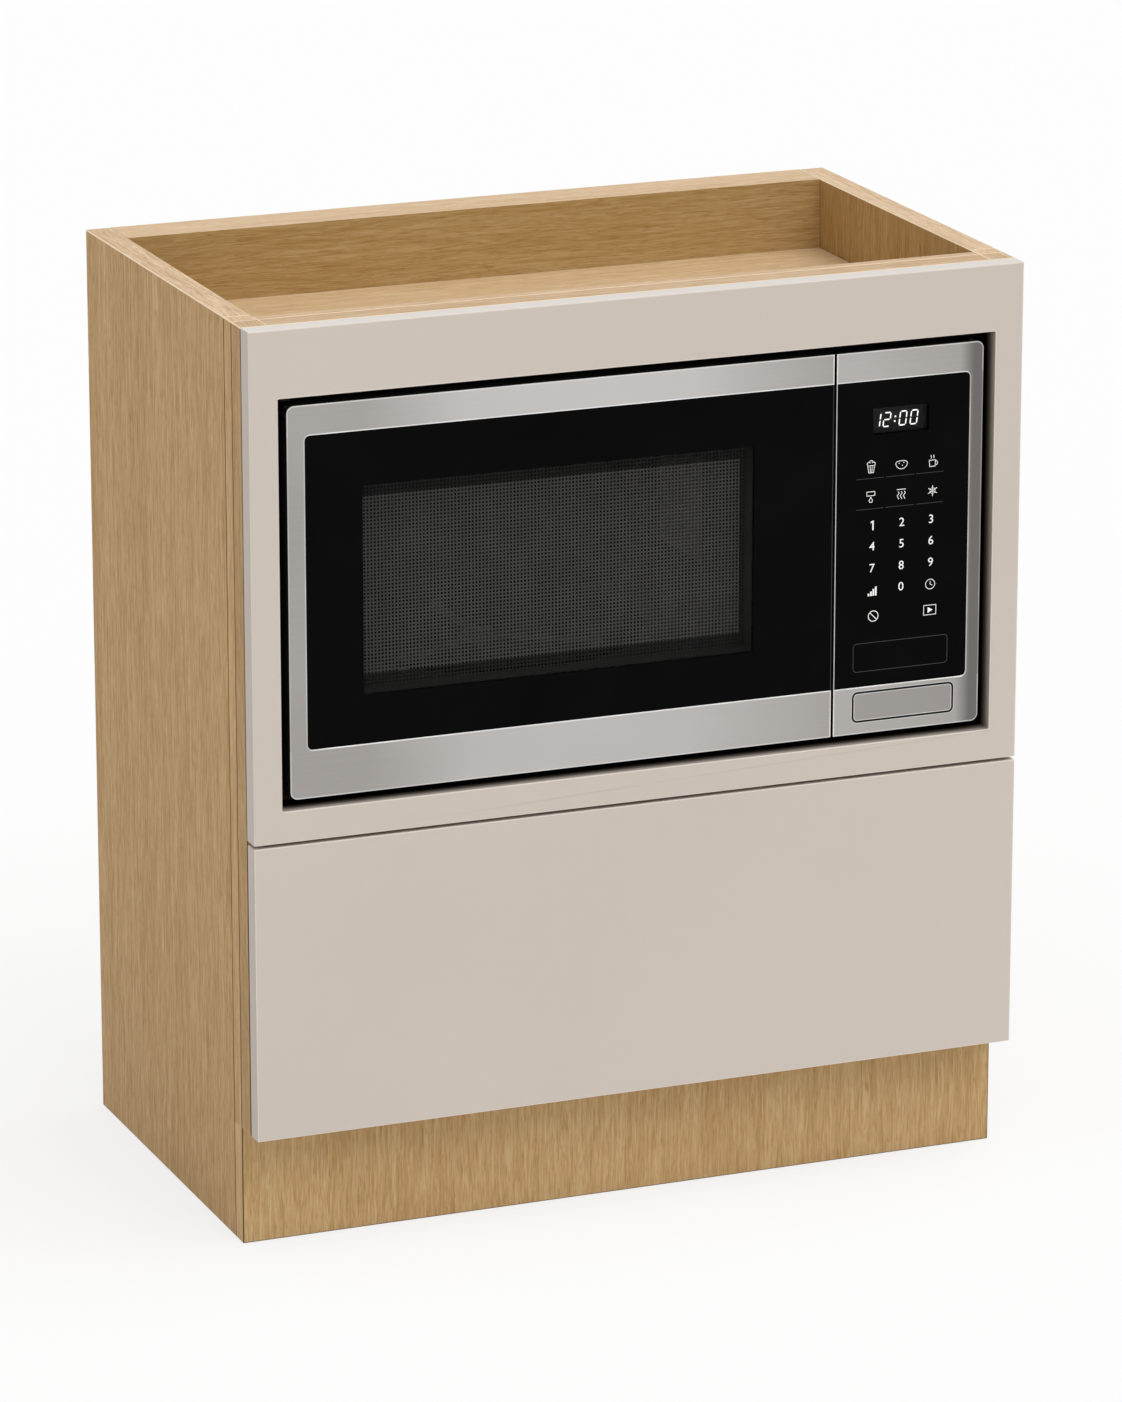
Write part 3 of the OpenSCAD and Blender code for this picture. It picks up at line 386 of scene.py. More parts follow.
def oak_arris():
    """Eased edges: a painted highlight round the rim, a painted contact shadow at the floor, dark
    joints between boards that are partly glue line and partly painted shadow of the gap, and
    painted black shade round the oven.
    """
    edge = Finish("oak_arris", IOR=1.42, Specular_IOR_Level=0.22)
    x, y, z = edge.spot()
    joint = abs(y - FRAME_FRONT) < JOINT_REACH
    for plane in (FRAME_BACK, LIPPING_BACK):
        joint = joint.larger(abs(y - plane) < JOINT_REACH)
    joint = joint.larger(abs(abs(x) - BAY_HALF) < JOINT_REACH) * (z < RIM_EDGE)
    rub = edge.span(edge.noise((70, 70, 70), 4, 0.6), 0.35, 0.65)
    flat = edge.mix(rub, paint(188, 157, 116), paint(206, 176, 138))
    # The rim's edge is painted pale, a painted highlight, over a little real rubbing.
    wear_and_highlight = edge.mix((z > RIM_EDGE) * 0.85, flat, paint(244, 224, 194))
    # Joint lines are dark: partly glue line and partly painted shadow of the gap between the parts.
    colour = edge.mix(joint * 0.95, wear_and_highlight, paint(78, 52, 26))
    # A painted contact shadow along the floor.
    colour = edge.mix((z < FOOT_EDGE) * 0.9, colour, paint(62, 44, 28))
    # Painted shade in black on the eased edges round the oven.
    edge.set("Base Color", edge.mix(round_oven(edge), colour, SHADE_BLACK))
    edge.set("Roughness", edge.span(rub, 0, 1, 0.42, 0.6))
    return edge.material


OAK_ARRIS = 0.9
PLAIN, PALE, WARM = (176, 141, 92), (188, 156, 109), (170, 135, 83)
# The rim colours here and in the table below are paler: painted light on faces that look up.
LIT_RIM = (210, 181, 146)
oak_edge = oak_arris()
for node, grain, shift, middle, reach, rim, bay_shade_mask in (
        ("side_panel_left", "Z", (1.3, 0.2, 0.4), PLAIN, 20, ("Y", LIT_RIM), beside_oven),
        ("side_panel_right", "Z", (4.1, 1.2, 2.3), WARM, 17, ("Y", LIT_RIM), beside_oven),
        ("side_lippings", "Z", (7.7, 3.1, 1.1), (184, 150, 102), 18, ("Y", LIT_RIM), beside_oven),
        ("frame_stiles", "Z", (2.6, 6.3, 3.9), (170, 137, 91), 18, ("Y", (198, 168, 132)),
         round_oven),
        ("frame_top_rail", "X", (0.7, 4.2, 5.5), PLAIN, 15, ("X", (197, 167, 131)), round_oven),
        ("frame_mid_rail", "X", (3.3, 5.1, 0.9), PLAIN, 15, None, round_oven),
        ("frame_bottom_rail", "X", (6.2, 0.8, 4.4), PLAIN, 15, None, None),
        ("toe_board", "Z", (8.4, 7.2, 6.6), PALE, 15, None, None),
        ("top_deck", "X", (5.9, 8.8, 2.1), (207, 177, 137), 14, None, None),
        ("rear_top_rail", "X", (9.1, 1.9, 7.3), (180, 149, 98), 13, ("X", LIT_RIM), None),
        ("deck_apron", "X", (1.8, 9.4, 8.2), PLAIN, 15, ("X", (203, 173, 138)), over_oven),
        ("appliance_shelf", "X", (4.6, 2.7, 9.9), PLAIN, 15, None, None),
        ("bottom_panel", "X", (2.2, 3.6, 7.7), PLAIN, 15, None, None),
        ("back_panel", "Z", (3.8, 4.9, 1.6), (179, 147, 97), 15, None, None)):
    finish = oak("oak_" + node, grain, shift, middle, reach, rim, bay_shade_mask)
    dress(node, finish, OAK_ARRIS, 2, oak_edge)


# ---------- Lacquered fronts ----------
# The fascia and the drawer front are medium-density board in a sprayed greige lacquer, satin,
# rounded over by a millimetre along every edge.

OPENING_HALF, OPENING_FOOT, OPENING_HEAD = 0.3532, 0.4278, 0.8122
OPENING_LIP, OPENING_DARK = -0.2283, -0.2125
TOP_EDGE = 0.8


def lacquer(name, tone):
    """Satin greige lacquer times a tone, with painted light on its top faces and painted shade on
    its side faces and on the opening's walls.
    """
    coat = Finish(name, IOR=1.45, Specular_IOR_Level=0.3)
    side, _, up = coat.facing()
    x, y, z = coat.spot()
    cloud = coat.span(coat.noise((2.2, 2.2, 2.2), 2), 0.3, 0.7)
    speck = coat.noise((420, 420, 420), 2)
    light = paint(*(tone * c for c in (202, 192, 182)))
    dark = paint(*(tone * c for c in (197, 187, 177)))
    colour = coat.mix(cloud * 0.7 + speck * 0.3, dark, light)
    # Top faces are painted paler: painted light from above.
    colour = coat.mix(((up > MOSTLY) * (z > TOP_EDGE)) * 0.7, colour, paint(219, 214, 208))
    # Side faces are painted darker: painted shade.
    colour = coat.mix((abs(side) > MOSTLY) * 0.8, colour, paint(176, 166, 156))
    # The opening's walls get painted shade, dark brown towards the oven.
    wall = ((abs(x) < OPENING_HALF) * (z < OPENING_HEAD)) * (z > OPENING_FOOT)
    depth = coat.span(y, OPENING_LIP, OPENING_DARK, 0.15, 0.95)
    colour = coat.mix(wall * depth, colour, paint(60, 44, 29))
    coat.set("Base Color", colour)
    coat.set("Roughness", coat.span(speck, 0.3, 0.7, 0.40, 0.48))
    coat.bump(speck, 0.08, 0.0002)
    return coat.material


LACQUER_ARRIS = 1.1
greige = lacquer("greige_lacquer", 1.0)
# The eased edges take a lighter copy of the lacquer: a painted highlight.
greige_highlight = lacquer("greige_lacquer_highlight", 1.08)
for node in ("fascia_panel", "drawer_front"):
    dress(node, greige, LACQUER_ARRIS, 3, greige_highlight)


# ---------- Oven front: stainless skins ----------
# Door skin, control bezel and release button are pressed from stainless sheet, brushed along the
# oven's width, with a narrow chamfer round the outline and the cut-outs that is painted bright as
# a painted highlight.

def metres(*values):
    return [value / 1000 for value in values]


def within(finish, across, up, corner=0.01):
    """1 inside an upright rectangle with rounded corners, in millimetres across X and up Z."""
    x, _, z = finish.spot()
    (x0, x1), (z0, z1), r = metres(*across), metres(*up), corner / 1000
    away_x = (abs(x - (x0 + x1) / 2) - ((x1 - x0) / 2 - r)).larger(0.0)
    away_z = (abs(z - (z0 + z1) / 2) - ((z1 - z0) / 2 - r)).larger(0.0)
    return (away_x * away_x + away_z * away_z) < r * r


def grown(across, up, by):
    """A rectangle's limits moved outward by so many millimetres."""
    return (across[0] - by, across[1] + by), (up[0] - by, up[1] + by)


WINDOW = (-271.5, 112.5), (528, 724)
WINDOW_WALL, WALL_GREY = grown(*WINDOW, 0.7), (120, 120, 117)
FRONT = (-343.5, 343.5), (436.5, 803.5), 7
GLASS = (-326.5, 330), (482, 775), 5
BUTTON = (215, 316.5), (449, 476), 4
SPLIT_DOOR, SPLIT_PANEL, SPLIT_EDGE = 0.192, 0.1945, 0.0011
SKIN_FRONT, SKIN_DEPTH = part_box("door_frame")[0].y, 0.0009
DOOR_GLEAM_STARTS, DOOR_GLEAM_ENDS, PANEL_GLEAM = (-0.27, -0.17), (0.05, 0.19), (0.22, 0.34)
GLEAM_RISES, SHADED_END = (0.45, 0.79), (0.320, 0.334)
CHAMFER, CUT_CHAMFER, BUTTON_CHAMFER = 1.2, 1.1, 2.1
GROOVE_OUTSIDE, GROOVE_INSIDE = 1.5, 0.5


def brushed_steel():
    """Brushed along X in front, with painted highlights round the outline, the glasses and the
    button, painted reflection across the sheet and painted shade on the button and the panel's
    right end. Behind its folded edge and in its grooves the skin is painted black, partly its real
    black edge and partly painted shade in the gaps, and the walls of the window's opening grey."""
    steel = Finish("brushed_steel")
    x, y, z = steel.spot()

    def inside(outline, by):
        """1 inside an outline that is moved outward by so many millimetres."""
        across, up, corner = outline
        return within(steel, *grown(across, up, by), corner + by)

    fine = steel.noise((5, 900, 2600), 3, 0.6)
    long_line = steel.noise((1.6, 300, 700), 2, 0.5, (3, 1, 7))
    smear = steel.span(steel.noise((5, 9, 8), 2, 0.5, (9, 4, 2)), 0.34, 0.66)
    line = steel.span(fine, 0.3, 0.7) * 0.6 + steel.span(long_line, 0.3, 0.7) * 0.4
    # The sheet is painted brightest over the door's middle and on the panel beside the door, and
    # brighter
    # upwards: painted reflection.
    over_door = steel.span(x, *DOOR_GLEAM_STARTS) * steel.span(x, *DOOR_GLEAM_ENDS, 1.0, 0.0)
    on_panel = (x > SPLIT_PANEL - SPLIT_EDGE) * steel.span(x, *PANEL_GLEAM, 0.42, 0.0)
    bright = over_door.larger(on_panel) * steel.span(z, *GLEAM_RISES, 0.55, 0.85)
    share = line * 0.15 + smear * 0.15 + bright
    metal = steel.mix(share, paint(164, 159, 155), paint(202, 198, 195))
    # The button's face is painted darker: painted shade.
    pressed = inside(BUTTON, -CHAMFER)
    metal = steel.mix(pressed * 0.45, metal, paint(140, 135, 131))
    # The panel's right end is painted darker: painted shade.
    metal = steel.mix(steel.span(x, *SHADED_END) * 0.85, metal, paint(103, 99, 96))

    # Bright lines on the chamfers round the outline, the glass, the split and the button are
    # painted highlights, weaker on upright edges beside the glass.
    outline = 1 - inside(FRONT, -CHAMFER)
    cut_out = inside(GLASS, CUT_CHAMFER)
    glass_foot, glass_head = metres(*GLASS[1])
    beside_glass = (z > glass_foot) * (z < glass_head)
    door_edge = abs(x - SPLIT_DOOR) < SPLIT_EDGE
    split = door_edge.larger(abs(x - SPLIT_PANEL) < SPLIT_EDGE)
    button = inside(BUTTON, BUTTON_CHAMFER) - pressed
    rub = steel.span(steel.noise((30, 30, 30), 3), 0.35, 0.65, 0.6, 0.95)
    polish_and_highlight = (outline * 0.55).larger(cut_out).larger(split).larger(button * 0.6) * rub
    polish_and_highlight = polish_and_highlight * (1 - beside_glass * 0.5)
    metal = steel.mix(polish_and_highlight, metal, paint(248, 247, 246))

    # A groove round the button and the door's edge beside the glass are painted black: painted
    # shade in the gaps.
    groove = inside(BUTTON, GROOVE_OUTSIDE) - inside(BUTTON, -GROOVE_INSIDE)
    front = (y < SKIN_FRONT + SKIN_DEPTH) * (1 - groove.larger(door_edge * beside_glass))
    # Behind the front face the skin is painted black, partly its real black edge and partly painted
    # shade in the gaps; the window's walls are grey.
    behind = steel.mix(within(steel, *WINDOW_WALL), paint(12, 12, 12), paint(*WALL_GREY))
    steel.set("Base Color", steel.mix(front, behind, metal))
    steel.set("Metallic", front)
    wear_and_highlight = steel.span(fine, 0.3, 0.7, 0.31, 0.43) - polish_and_highlight * 0.12
    steel.set("Roughness", wear_and_highlight + (1 - front) * 0.3)
    steel.bump(fine, 0.1, 0.0002)
    return steel.material


STEEL_ARRIS = 0.6
steel = brushed_steel()
for node in ("door_frame", "control_bezel", "release_button"):
    dress(node, steel, STEEL_ARRIS)


# ---------- Oven front: glasses and their print ----------
# Two 4 mm black-printed glasses set half a millimetre below the steel. The door's glass is left
# dark but clear over the window, and the control glass over the clock's display.

def printed_glass(name, clear_x, clear_z, corner, clear_alpha):
    """Black-backed glass with one rounded window, given in millimetres, that shows through."""
    pane = Finish(name, IOR=1.5, Specular_IOR_Level=0.03)
    inside = within(pane, clear_x, clear_z, corner)
    smudge = pane.span(pane.noise((14, 14, 14), 3), 0.35, 0.7)
    pane.set("Base Color", pane.mix(smudge, paint(4, 4, 4), paint(7, 7, 7)))
    pane.set("Alpha", 1 - inside * (1 - clear_alpha))
    pane.set("Roughness", pane.span(smudge, 0, 1, 0.05, 0.09))
    return pane.material


DISPLAY = (232, 288.5), (723.5, 748.5)
GLASS_ARRIS = 0.3
for node, (clear_x, clear_z), corner, clear_alpha in (
        ("door_glass", WINDOW, 3, 0.485), ("control_glass", DISPLAY, 0.5, 0.15)):
    finish = printed_glass(node + "_print", clear_x, clear_z, corner, clear_alpha)
    dress(node, finish, GLASS_ARRIS)


# ---------- Control panel print ----------
# The keys are touch areas behind the glass. Each is marked in white print: the digits, a small
# picture for each programme, thin grey rules between the rows and an outlined empty field.

class Print:
    """Flat marks on the control glass, drawn in millimetres across X and up Z."""

    def __init__(self, y):
        self.y, self.points, self.faces = y, [], []

    def area(self, outline):
        first = len(self.points)
        self.points += [metres(x, self.y, z) for x, z in outline]
        self.faces.append(tuple(range(first, first + len(outline))))

    def line(self, path, width, closed=False):
        """A stroke of even width with mitred corners."""
        count = len(path)
        left, right = [], []
        for i, (x, z) in enumerate(path):
            before = path[i - 1] if i or closed else None
            after = path[(i + 1) % count] if i < count - 1 or closed else None
            turn = Vector((0, 0))
            for a, b in ((before, (x, z)), ((x, z), after)):
                if a and b:
                    step = (Vector(b) - Vector(a)).normalized()
                    turn += Vector((-step.y, step.x))
            turn.normalize()
            step = (Vector((x, z)) - Vector(before or after)).normalized()
            reach = width / 2 / max(0.5, abs(turn.dot(Vector((-step.y, step.x)))))
            left.append((x + turn.x * reach, z + turn.y * reach))
            right.append((x - turn.x * reach, z - turn.y * reach))
        for i in range(count if closed else count - 1):
            j = (i + 1) % count
            self.area([right[i], right[j], left[j], left[i]])

    def make(self, name, material, body):
        """All the marks as one piece that faces forward and rides on a body."""
        mesh = bpy.data.meshes.new(name)
        mesh.from_pydata(self.points, [], self.faces)
        mesh.materials.append(material)
        piece = bpy.data.objects.new(name, mesh)
        scene.collection.objects.link(piece)
        work = bmesh.new()
        work.from_mesh(mesh)
        for face in work.faces:
            if face.normal.y > 0:
                face.normal_flip()
        work.to_mesh(mesh)
        work.free()
        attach(piece, body)
        return piece


def polar(r, turn):
    return r * math.cos(turn), r * math.sin(turn)


def arc(x, z, r, start, end, steps=10):
    """Points on a circle from one angle to another, in degrees."""
    turns = [math.radians(start + (end - start) * i / steps) for i in range(steps + 1)]
    return [(x + across, z + up) for across, up in (polar(r, turn) for turn in turns)]


def ring(x, z, r, steps=14):
    return arc(x, z, r, 0, 360 - 360 / steps, steps - 1)


def rounded(across, up, r):
    """A rectangle's outline with rounded corners, from the lower left one onwards."""
    (x0, x1), (z0, z1) = (across[0] + r, across[1] - r), (up[0] + r, up[1] - r)
    corners = (x0, z0, 180), (x1, z0, 270), (x1, z1, 0), (x0, z1, 90)
    return [point for x, z, start in corners for point in arc(x, z, r, start, start + 90, 6)]


def frozen(thing):
    """The mesh that an object's text or modifiers come to."""
    bpy.context.view_layer.update()
    graph = bpy.context.evaluated_depsgraph_get()
    return bpy.data.meshes.new_from_object(thing.evaluated_get(graph))


def ink(name, rgb, glow):
    """Print or a lit segment, very slightly grained. A glow on print is painted light."""
    print_ink = Finish(name, Specular_IOR_Level=0.2, Emission_Strength=glow)
    grain = print_ink.span(print_ink.noise((900, 900, 900), 2), 0.3, 0.7)
    colour = print_ink.mix(grain, paint(*(0.93 * c for c in rgb)), paint(*rgb))
    print_ink.set("Base Color", colour)
    if glow:
        print_ink.set("Emission Color", colour)
    print_ink.set("Roughness", print_ink.span(grain, 0, 1, 0.45, 0.55))
    return print_ink.material


# The white print glows a little, though nothing lights it: painted light.
glowing_white_ink = ink("glowing_white_ink", (244, 244, 241), 0.12)
grey_ink = ink("grey_ink", (62, 62, 62), 0.0)
lit_segment = ink("lit_segment", (250, 250, 246), 1.0)
INK_LIFT = 0.03
PRINT_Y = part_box("control_glass")[0].y * 1000 - INK_LIFT
COLUMNS = (232.5, 262.5, 292.5)
DIGIT_ROWS = (637, 616.5, 595.5, 575)
DIGIT_H, CAPITAL_SHARE, DIGIT_WEIGHT = 8.4, 0.72, 0.00002
ONE = ((-0.1, -4.6), (1.3, -4.6), (1.3, 4.6), (0.2, 4.6), (-1.9, 3.3), (-1.9, 2.1), (-0.1, 2.9))

white = Print(PRINT_Y)
digit_meshes = []
for z, marks in zip(DIGIT_ROWS, ("123", "456", "789", " 0 ")):
    for x, mark in zip(COLUMNS, marks):
        if mark == " ":
            continue
        if mark == "1":
            white.area([(x + dx, z + dz) for dx, dz in ONE])
            continue
        words = bpy.data.curves.new("digit_" + mark, "FONT")
        words.body = mark
        words.align_x, words.align_y = "CENTER", "CENTER"
        words.size = DIGIT_H / 1000 / CAPITAL_SHARE
        words.offset = DIGIT_WEIGHT
        words.resolution_u = 5
        digit = bpy.data.objects.new("digit", words)
        scene.collection.objects.link(digit)
        mesh = frozen(digit)
        bpy.data.objects.remove(digit)
        mesh.transform(Matrix.Translation(metres(x, PRINT_Y, z))
                       @ Matrix.Rotation(math.pi / 2, 4, "X"))
        digit_meshes.append(mesh)

ICON_SCALE = 1.36


def icon(x, z, *strokes, width=0.6, fills=()):
    """A small picture from strokes and filled areas, both drawn round its own centre. A stroke is
    its path and whether it is closed."""
    def placed(path):
        return [(x + px * ICON_SCALE, z + pz * ICON_SCALE) for px, pz in path]

    for path, closed in strokes:
        white.line(placed(path), width, closed)
    for outline in fills:
        white.area(placed(outline))


UPPER_ROW, LOWER_ROW, POWER_ROW, TIMER_ROW, LAST_ROW = 693, 664.5, 573.5, 574.5, 549.5
# Popped corn in a tapered cup.
icon(230.5, UPPER_ROW, ([(-2.6, 1), (-1.7, -4), (1.7, -4), (2.6, 1)], True),
     ([(-0.8, 0.6), (-0.5, -3.6)], False), ([(0.8, 0.6), (0.5, -3.6)], False),
     (arc(-1.7, 2.2, 1.3, 30, 250), False), (arc(0, 3.2, 1.4, 10, 170), False),
     (arc(1.7, 2.2, 1.3, -70, 150), False))
# A potato with three eyes.
skin = [(4.4 * math.cos(turn), 2.9 * math.sin(turn) + 0.5 * math.cos(2 * turn))
        for turn in (i / 16 * math.tau for i in range(16))]
icon(261.5, UPPER_ROW, (skin, True),
     fills=[ring(x, z, 0.4, 6) for x, z in ((-1.8, 0.6), (0.6, -0.9), (1.6, 1.0))])
# A cup with a handle and steam.
icon(293.5, UPPER_ROW, ([(-2.8, 0.6), (-2.4, -3.8), (1.6, -3.8), (2.0, 0.6)], True),
     (arc(2.0, -1.5, 1.5, -80, 80), False),
     ([(-1.5, 1.8), (-1.1, 2.7), (-1.6, 3.4), (-1.2, 4.2)], False),
     ([(0.5, 1.8), (0.9, 2.7), (0.4, 3.4), (0.8, 4.2)], False))
# A melting pat: a block over a drop.
icon(230.5, LOWER_ROW, ([(-3, 3.6), (3, 3.6), (3, 0.8), (-3, 0.8)], True),
     ([(0, -0.2), (1.3, -2.4), (0.8, -3.8), (-0.8, -3.8), (-1.3, -2.4)], True))
# Three waves of heat under a bar.
icon(261.5, LOWER_ROW, ([(-3.4, 3.2), (3.4, 3.2)], False),
     *[([(x, 1.8), (x + 0.7, 0.6), (x - 0.7, -1.2), (x, -2.6), (x + 0.6, -3.6)], False)
       for x in (-2.3, 0, 2.3)])
# A snow crystal: three bars through its centre and six small arrows.
icon(293.5, LOWER_ROW,
     *[([polar(-3.8, turn), polar(3.8, turn)], False)
       for turn in (math.pi / 2, math.pi / 6, -math.pi / 6)],
     *[([polar(2.2, turn - 0.35), polar(1.4, turn), polar(2.2, turn + 0.35)], False)
       for turn in (math.pi / 6 + math.pi / 3 * i for i in range(6))])
# Rising bars for the power level.
icon(233.5, POWER_ROW, fills=[
    [(x, -3.2), (x + 1.3, -3.2), (x + 1.3, -3.2 + h), (x, -3.2 + h)]
    for x, h in ((-3.6, 1.8), (-1.8, 3.2), (0.0, 4.8), (1.8, 6.4))])
# A clock face for the timer.
icon(292.5, TIMER_ROW, (ring(0, 0, 3.5, 18), True),
     ([(0, 2.2), (0, 0), (1.6, -0.9)], False))
# A crossed ring to stop.
icon(234.5, LAST_ROW, (ring(0, 0, 3.7, 18), True),
     ([(-2.5, 2.5), (2.5, -2.5)], False), width=0.75)
# A triangle in a field to start.
icon(292.5, LAST_ROW, ([(-4.6, -3.4), (4.6, -3.4), (4.6, 3.4), (-4.6, 3.4)], True),
     fills=[[(-1.6, -2.1), (2.2, 0), (-1.6, 2.1)]])
panel_print = white.make("keypad_print", glowing_white_ink, "cabinet")
work = bmesh.new()
work.from_mesh(panel_print.data)
for mesh in digit_meshes:
    work.from_mesh(mesh)
    bpy.data.meshes.remove(mesh)
for face in work.faces:
    face.material_index = 0
work.to_mesh(panel_print.data)
work.free()

RULE_ROWS = (682.2, 653)
RULE_SPANS = ((215.5, 243.5), (245.5, 274.6), (276.6, 304.3))
EMPTY_FIELD = (214.5, 311), (496.7, 524), 3.5
RULE_WIDTH, FIELD_WIDTH = 0.5, 0.6
grey = Print(PRINT_Y)
for z in RULE_ROWS:
    for x0, x1 in RULE_SPANS:
        grey.line([(x0, z), (x1, z)], RULE_WIDTH)
grey.line(rounded(*EMPTY_FIELD), FIELD_WIDTH, True)
grey.make("keypad_rules", grey_ink, "cabinet")

# The clock's digits are lit segments, seen in the depth of the glass.
SEGMENTS = {"1": "bc", "2": "abged", "0": "abcdef"}
SEGMENT_ENDS = {
    "a": ((-1, 1), (1, 1)), "b": ((1, 1), (1, 0)), "c": ((1, 0), (1, -1)),
    "d": ((-1, -1), (1, -1)), "e": ((-1, 0), (-1, -1)), "f": ((-1, 1), (-1, 0)),
    "g": ((-1, 0), (1, 0))}
LIT_DEPTH = 0.4
HALF_W, HALF_H, SLANT, STROKE, SEGMENT_GAP = 3.3, 6.5, 0.13, 1.15, 0.45
clock = Print(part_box("control_glass")[1].y * 1000 - LIT_DEPTH)


def seven_segment(mark, x, z):
    """One digit of the clock round its middle, with pointed segments that lean to the right."""
    for name in SEGMENTS[mark]:
        a, b = [Vector((across * HALF_W, up * HALF_H)) for across, up in SEGMENT_ENDS[name]]
        step = (b - a).normalized()
        a, b = a + step * SEGMENT_GAP, b - step * SEGMENT_GAP
        side = Vector((-step.y, step.x)) * STROKE / 2
        tip = step * STROKE / 2
        outline = [a, a + tip - side, b - tip - side, b, b - tip + side, a + tip + side]
        clock.area([(x + p.x + p.y * SLANT, z + p.y) for p in outline])


CLOCK_Z, COLON_X, COLON_RISE, DOT = 736, 255.8, 2.2, 0.8
for mark, x in (("1", 237.4), ("2", 247.6), ("0", 263.9), ("0", 275.1)):
    seven_segment(mark, x, CLOCK_Z)
for z in (-COLON_RISE, COLON_RISE):
    clock.area([(COLON_X + z * SLANT + dx, CLOCK_Z + z + dz)
                for dx, dz in ((-DOT, -DOT), (DOT, -DOT), (DOT, DOT), (-DOT, DOT))])
clock.make("clock_digits", lit_segment, "cabinet")


# ---------- Door: inner panel and window screen ----------
# A black moulded panel closes the door's back and its choke seals the oven. Behind the window it
# holds the steel screen, which is punched all over with square holes and enamelled pale grey.

def grained_plastic(name, rgb, rough=0.5, grain=700, depth=0.25, marked=None):
    """Moulded plastic with a fine leather grain. marked is a mask and the colour it shows."""
    moulded = Finish(name, IOR=1.46, Specular_IOR_Level=0.4)
    leather = moulded.noise((grain, grain, grain), 3, 0.6)
    dust = moulded.span(moulded.noise((9, 9, 9), 3), 0.4, 0.75)
    light = paint(*(min(255, c * 1.12 + 4) for c in rgb))
    colour = moulded.mix(dust * 0.6 + leather * 0.4, paint(*rgb), light)
    if marked:
        colour = moulded.mix(marked[0](moulded), colour, paint(*marked[1]))
    moulded.set("Base Color", colour)
    moulded.set("Roughness", moulded.span(leather, 0.3, 0.7, rough - 0.08, rough + 0.08))
    moulded.bump(leather, depth, 0.0002)
    return moulded.material


def window_wall(finish):
    return within(finish, *WINDOW_WALL)


BLACK, PANEL_ARRIS = (24, 24, 25), 0.5
panel_black = grained_plastic("door_panel_black", BLACK, marked=(window_wall, WALL_GREY))
black_edge = grained_plastic("black_plastic_edge", (34, 34, 35), 0.42)
dress("door_inner_panel", panel_black, PANEL_ARRIS, 2, black_edge)


def plain_mesh(name, tree_group, settings, body, points=None):
    """Runs a Geometry Nodes tree on points or an empty mesh and keeps its result as a piece."""
    start = bpy.data.objects.new(name, points or bpy.data.meshes.new(name))
    scene.collection.objects.link(start)
    grower = start.modifiers.new("made", "NODES")
    grower.node_group = tree_group
    for item in tree_group.interface.items_tree:
        if item.in_out == "INPUT" and item.name in settings:
            grower[item.identifier] = settings[item.name]
    result = frozen(start)
    start.modifiers.clear()
    start.data = result
    result.name = name
    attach(start, body)
    return start


def geometry_tree(name, inputs):
    """A Geometry Nodes tree with named inputs: its builder, what it is given, and itself."""
    group = bpy.data.node_groups.new(name, "GeometryNodeTree")
    group.interface.new_socket(name="Geometry", in_out="INPUT", socket_type="NodeSocketGeometry")
    for label, kind in inputs:
        group.interface.new_socket(name=label, in_out="INPUT", socket_type="NodeSocket" + kind)
    group.interface.new_socket(name="Geometry", in_out="OUTPUT", socket_type="NodeSocketGeometry")
    tree = Tree(group)
    return tree, tree.node("NodeGroupInput").outputs, group


def hand_out(tree, geometry, material):
    """Ends a tree with its geometry made real and in one material."""
    whole = tree.node("GeometryNodeRealizeInstances", {}, {0: geometry})
    coated = tree.node("GeometryNodeSetMaterial", {}, {"Geometry": whole, "Material": material})
    tree.node("NodeGroupOutput", {}, {0: coated})


tree, given, punched = geometry_tree("punched_screen", [
    ("Columns", "Int"), ("Rows", "Int"), ("Pitch", "Float"), ("Bridge", "Float"),
    ("Thickness", "Float"), ("Low corner", "Vector"), ("Material", "Material")])


def bars(count, along, across, thin):
    """Closed bars side by side at the pitch, each as long as the other direction's bars reach."""
    def number(kind, a, b):
        return tree.node("ShaderNodeMath", {"operation": kind}, {0: a, 1: b})

    length = number("MULTIPLY", given[across], given["Pitch"])
    thickness = number("MULTIPLY", given["Thickness"], thin)
    size = {"X": (given["Bridge"], thickness, length),
            "Z": (length, thickness, given["Bridge"])}[along]
    box = tree.node("GeometryNodeMeshCube", {}, {
        "Size": tree.node("ShaderNodeCombineXYZ", {}, dict(enumerate(size)))})
    half = number("MULTIPLY", length, 0.5)
    middle = tree.node("ShaderNodeCombineXYZ", {}, {0 if along == "Z" else 2: half})
    step = tree.node("ShaderNodeCombineXYZ", {}, {0 if along == "X" else 2: given["Pitch"]})
    line = tree.node("GeometryNodeMeshLine", {"mode": "OFFSET"}, {
        "Count": number("ADD", given[count], 1), "Start Location": middle, "Offset": step})
    return tree.node("GeometryNodeInstanceOnPoints", {}, {
        "Points": line.outputs["Mesh"], "Instance": box.outputs["Mesh"]})


# The level bars are a little thinner, so that no two faces lie in one plane where they cross.
LEVEL_BAR_SHARE = 0.82
together = tree.node("GeometryNodeJoinGeometry")
for part in (bars("Columns", "X", "Rows", 1.0), bars("Rows", "Z", "Columns", LEVEL_BAR_SHARE)):
    tree.tree.links.new(part.outputs[0], together.inputs[0])
moved = tree.node("GeometryNodeTransform", {}, {
    "Geometry": together, "Translation": given["Low corner"]})
hand_out(tree, moved, given["Material"])

screen_low, screen_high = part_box("door_screen")
PITCH, BRIDGE = 3.4, 1.2
FIELD_X, FIELD_Z = (-0.2645, 0.108), (0.5405, 0.7075)
SCREEN_GREY = paint(140, 140, 137)


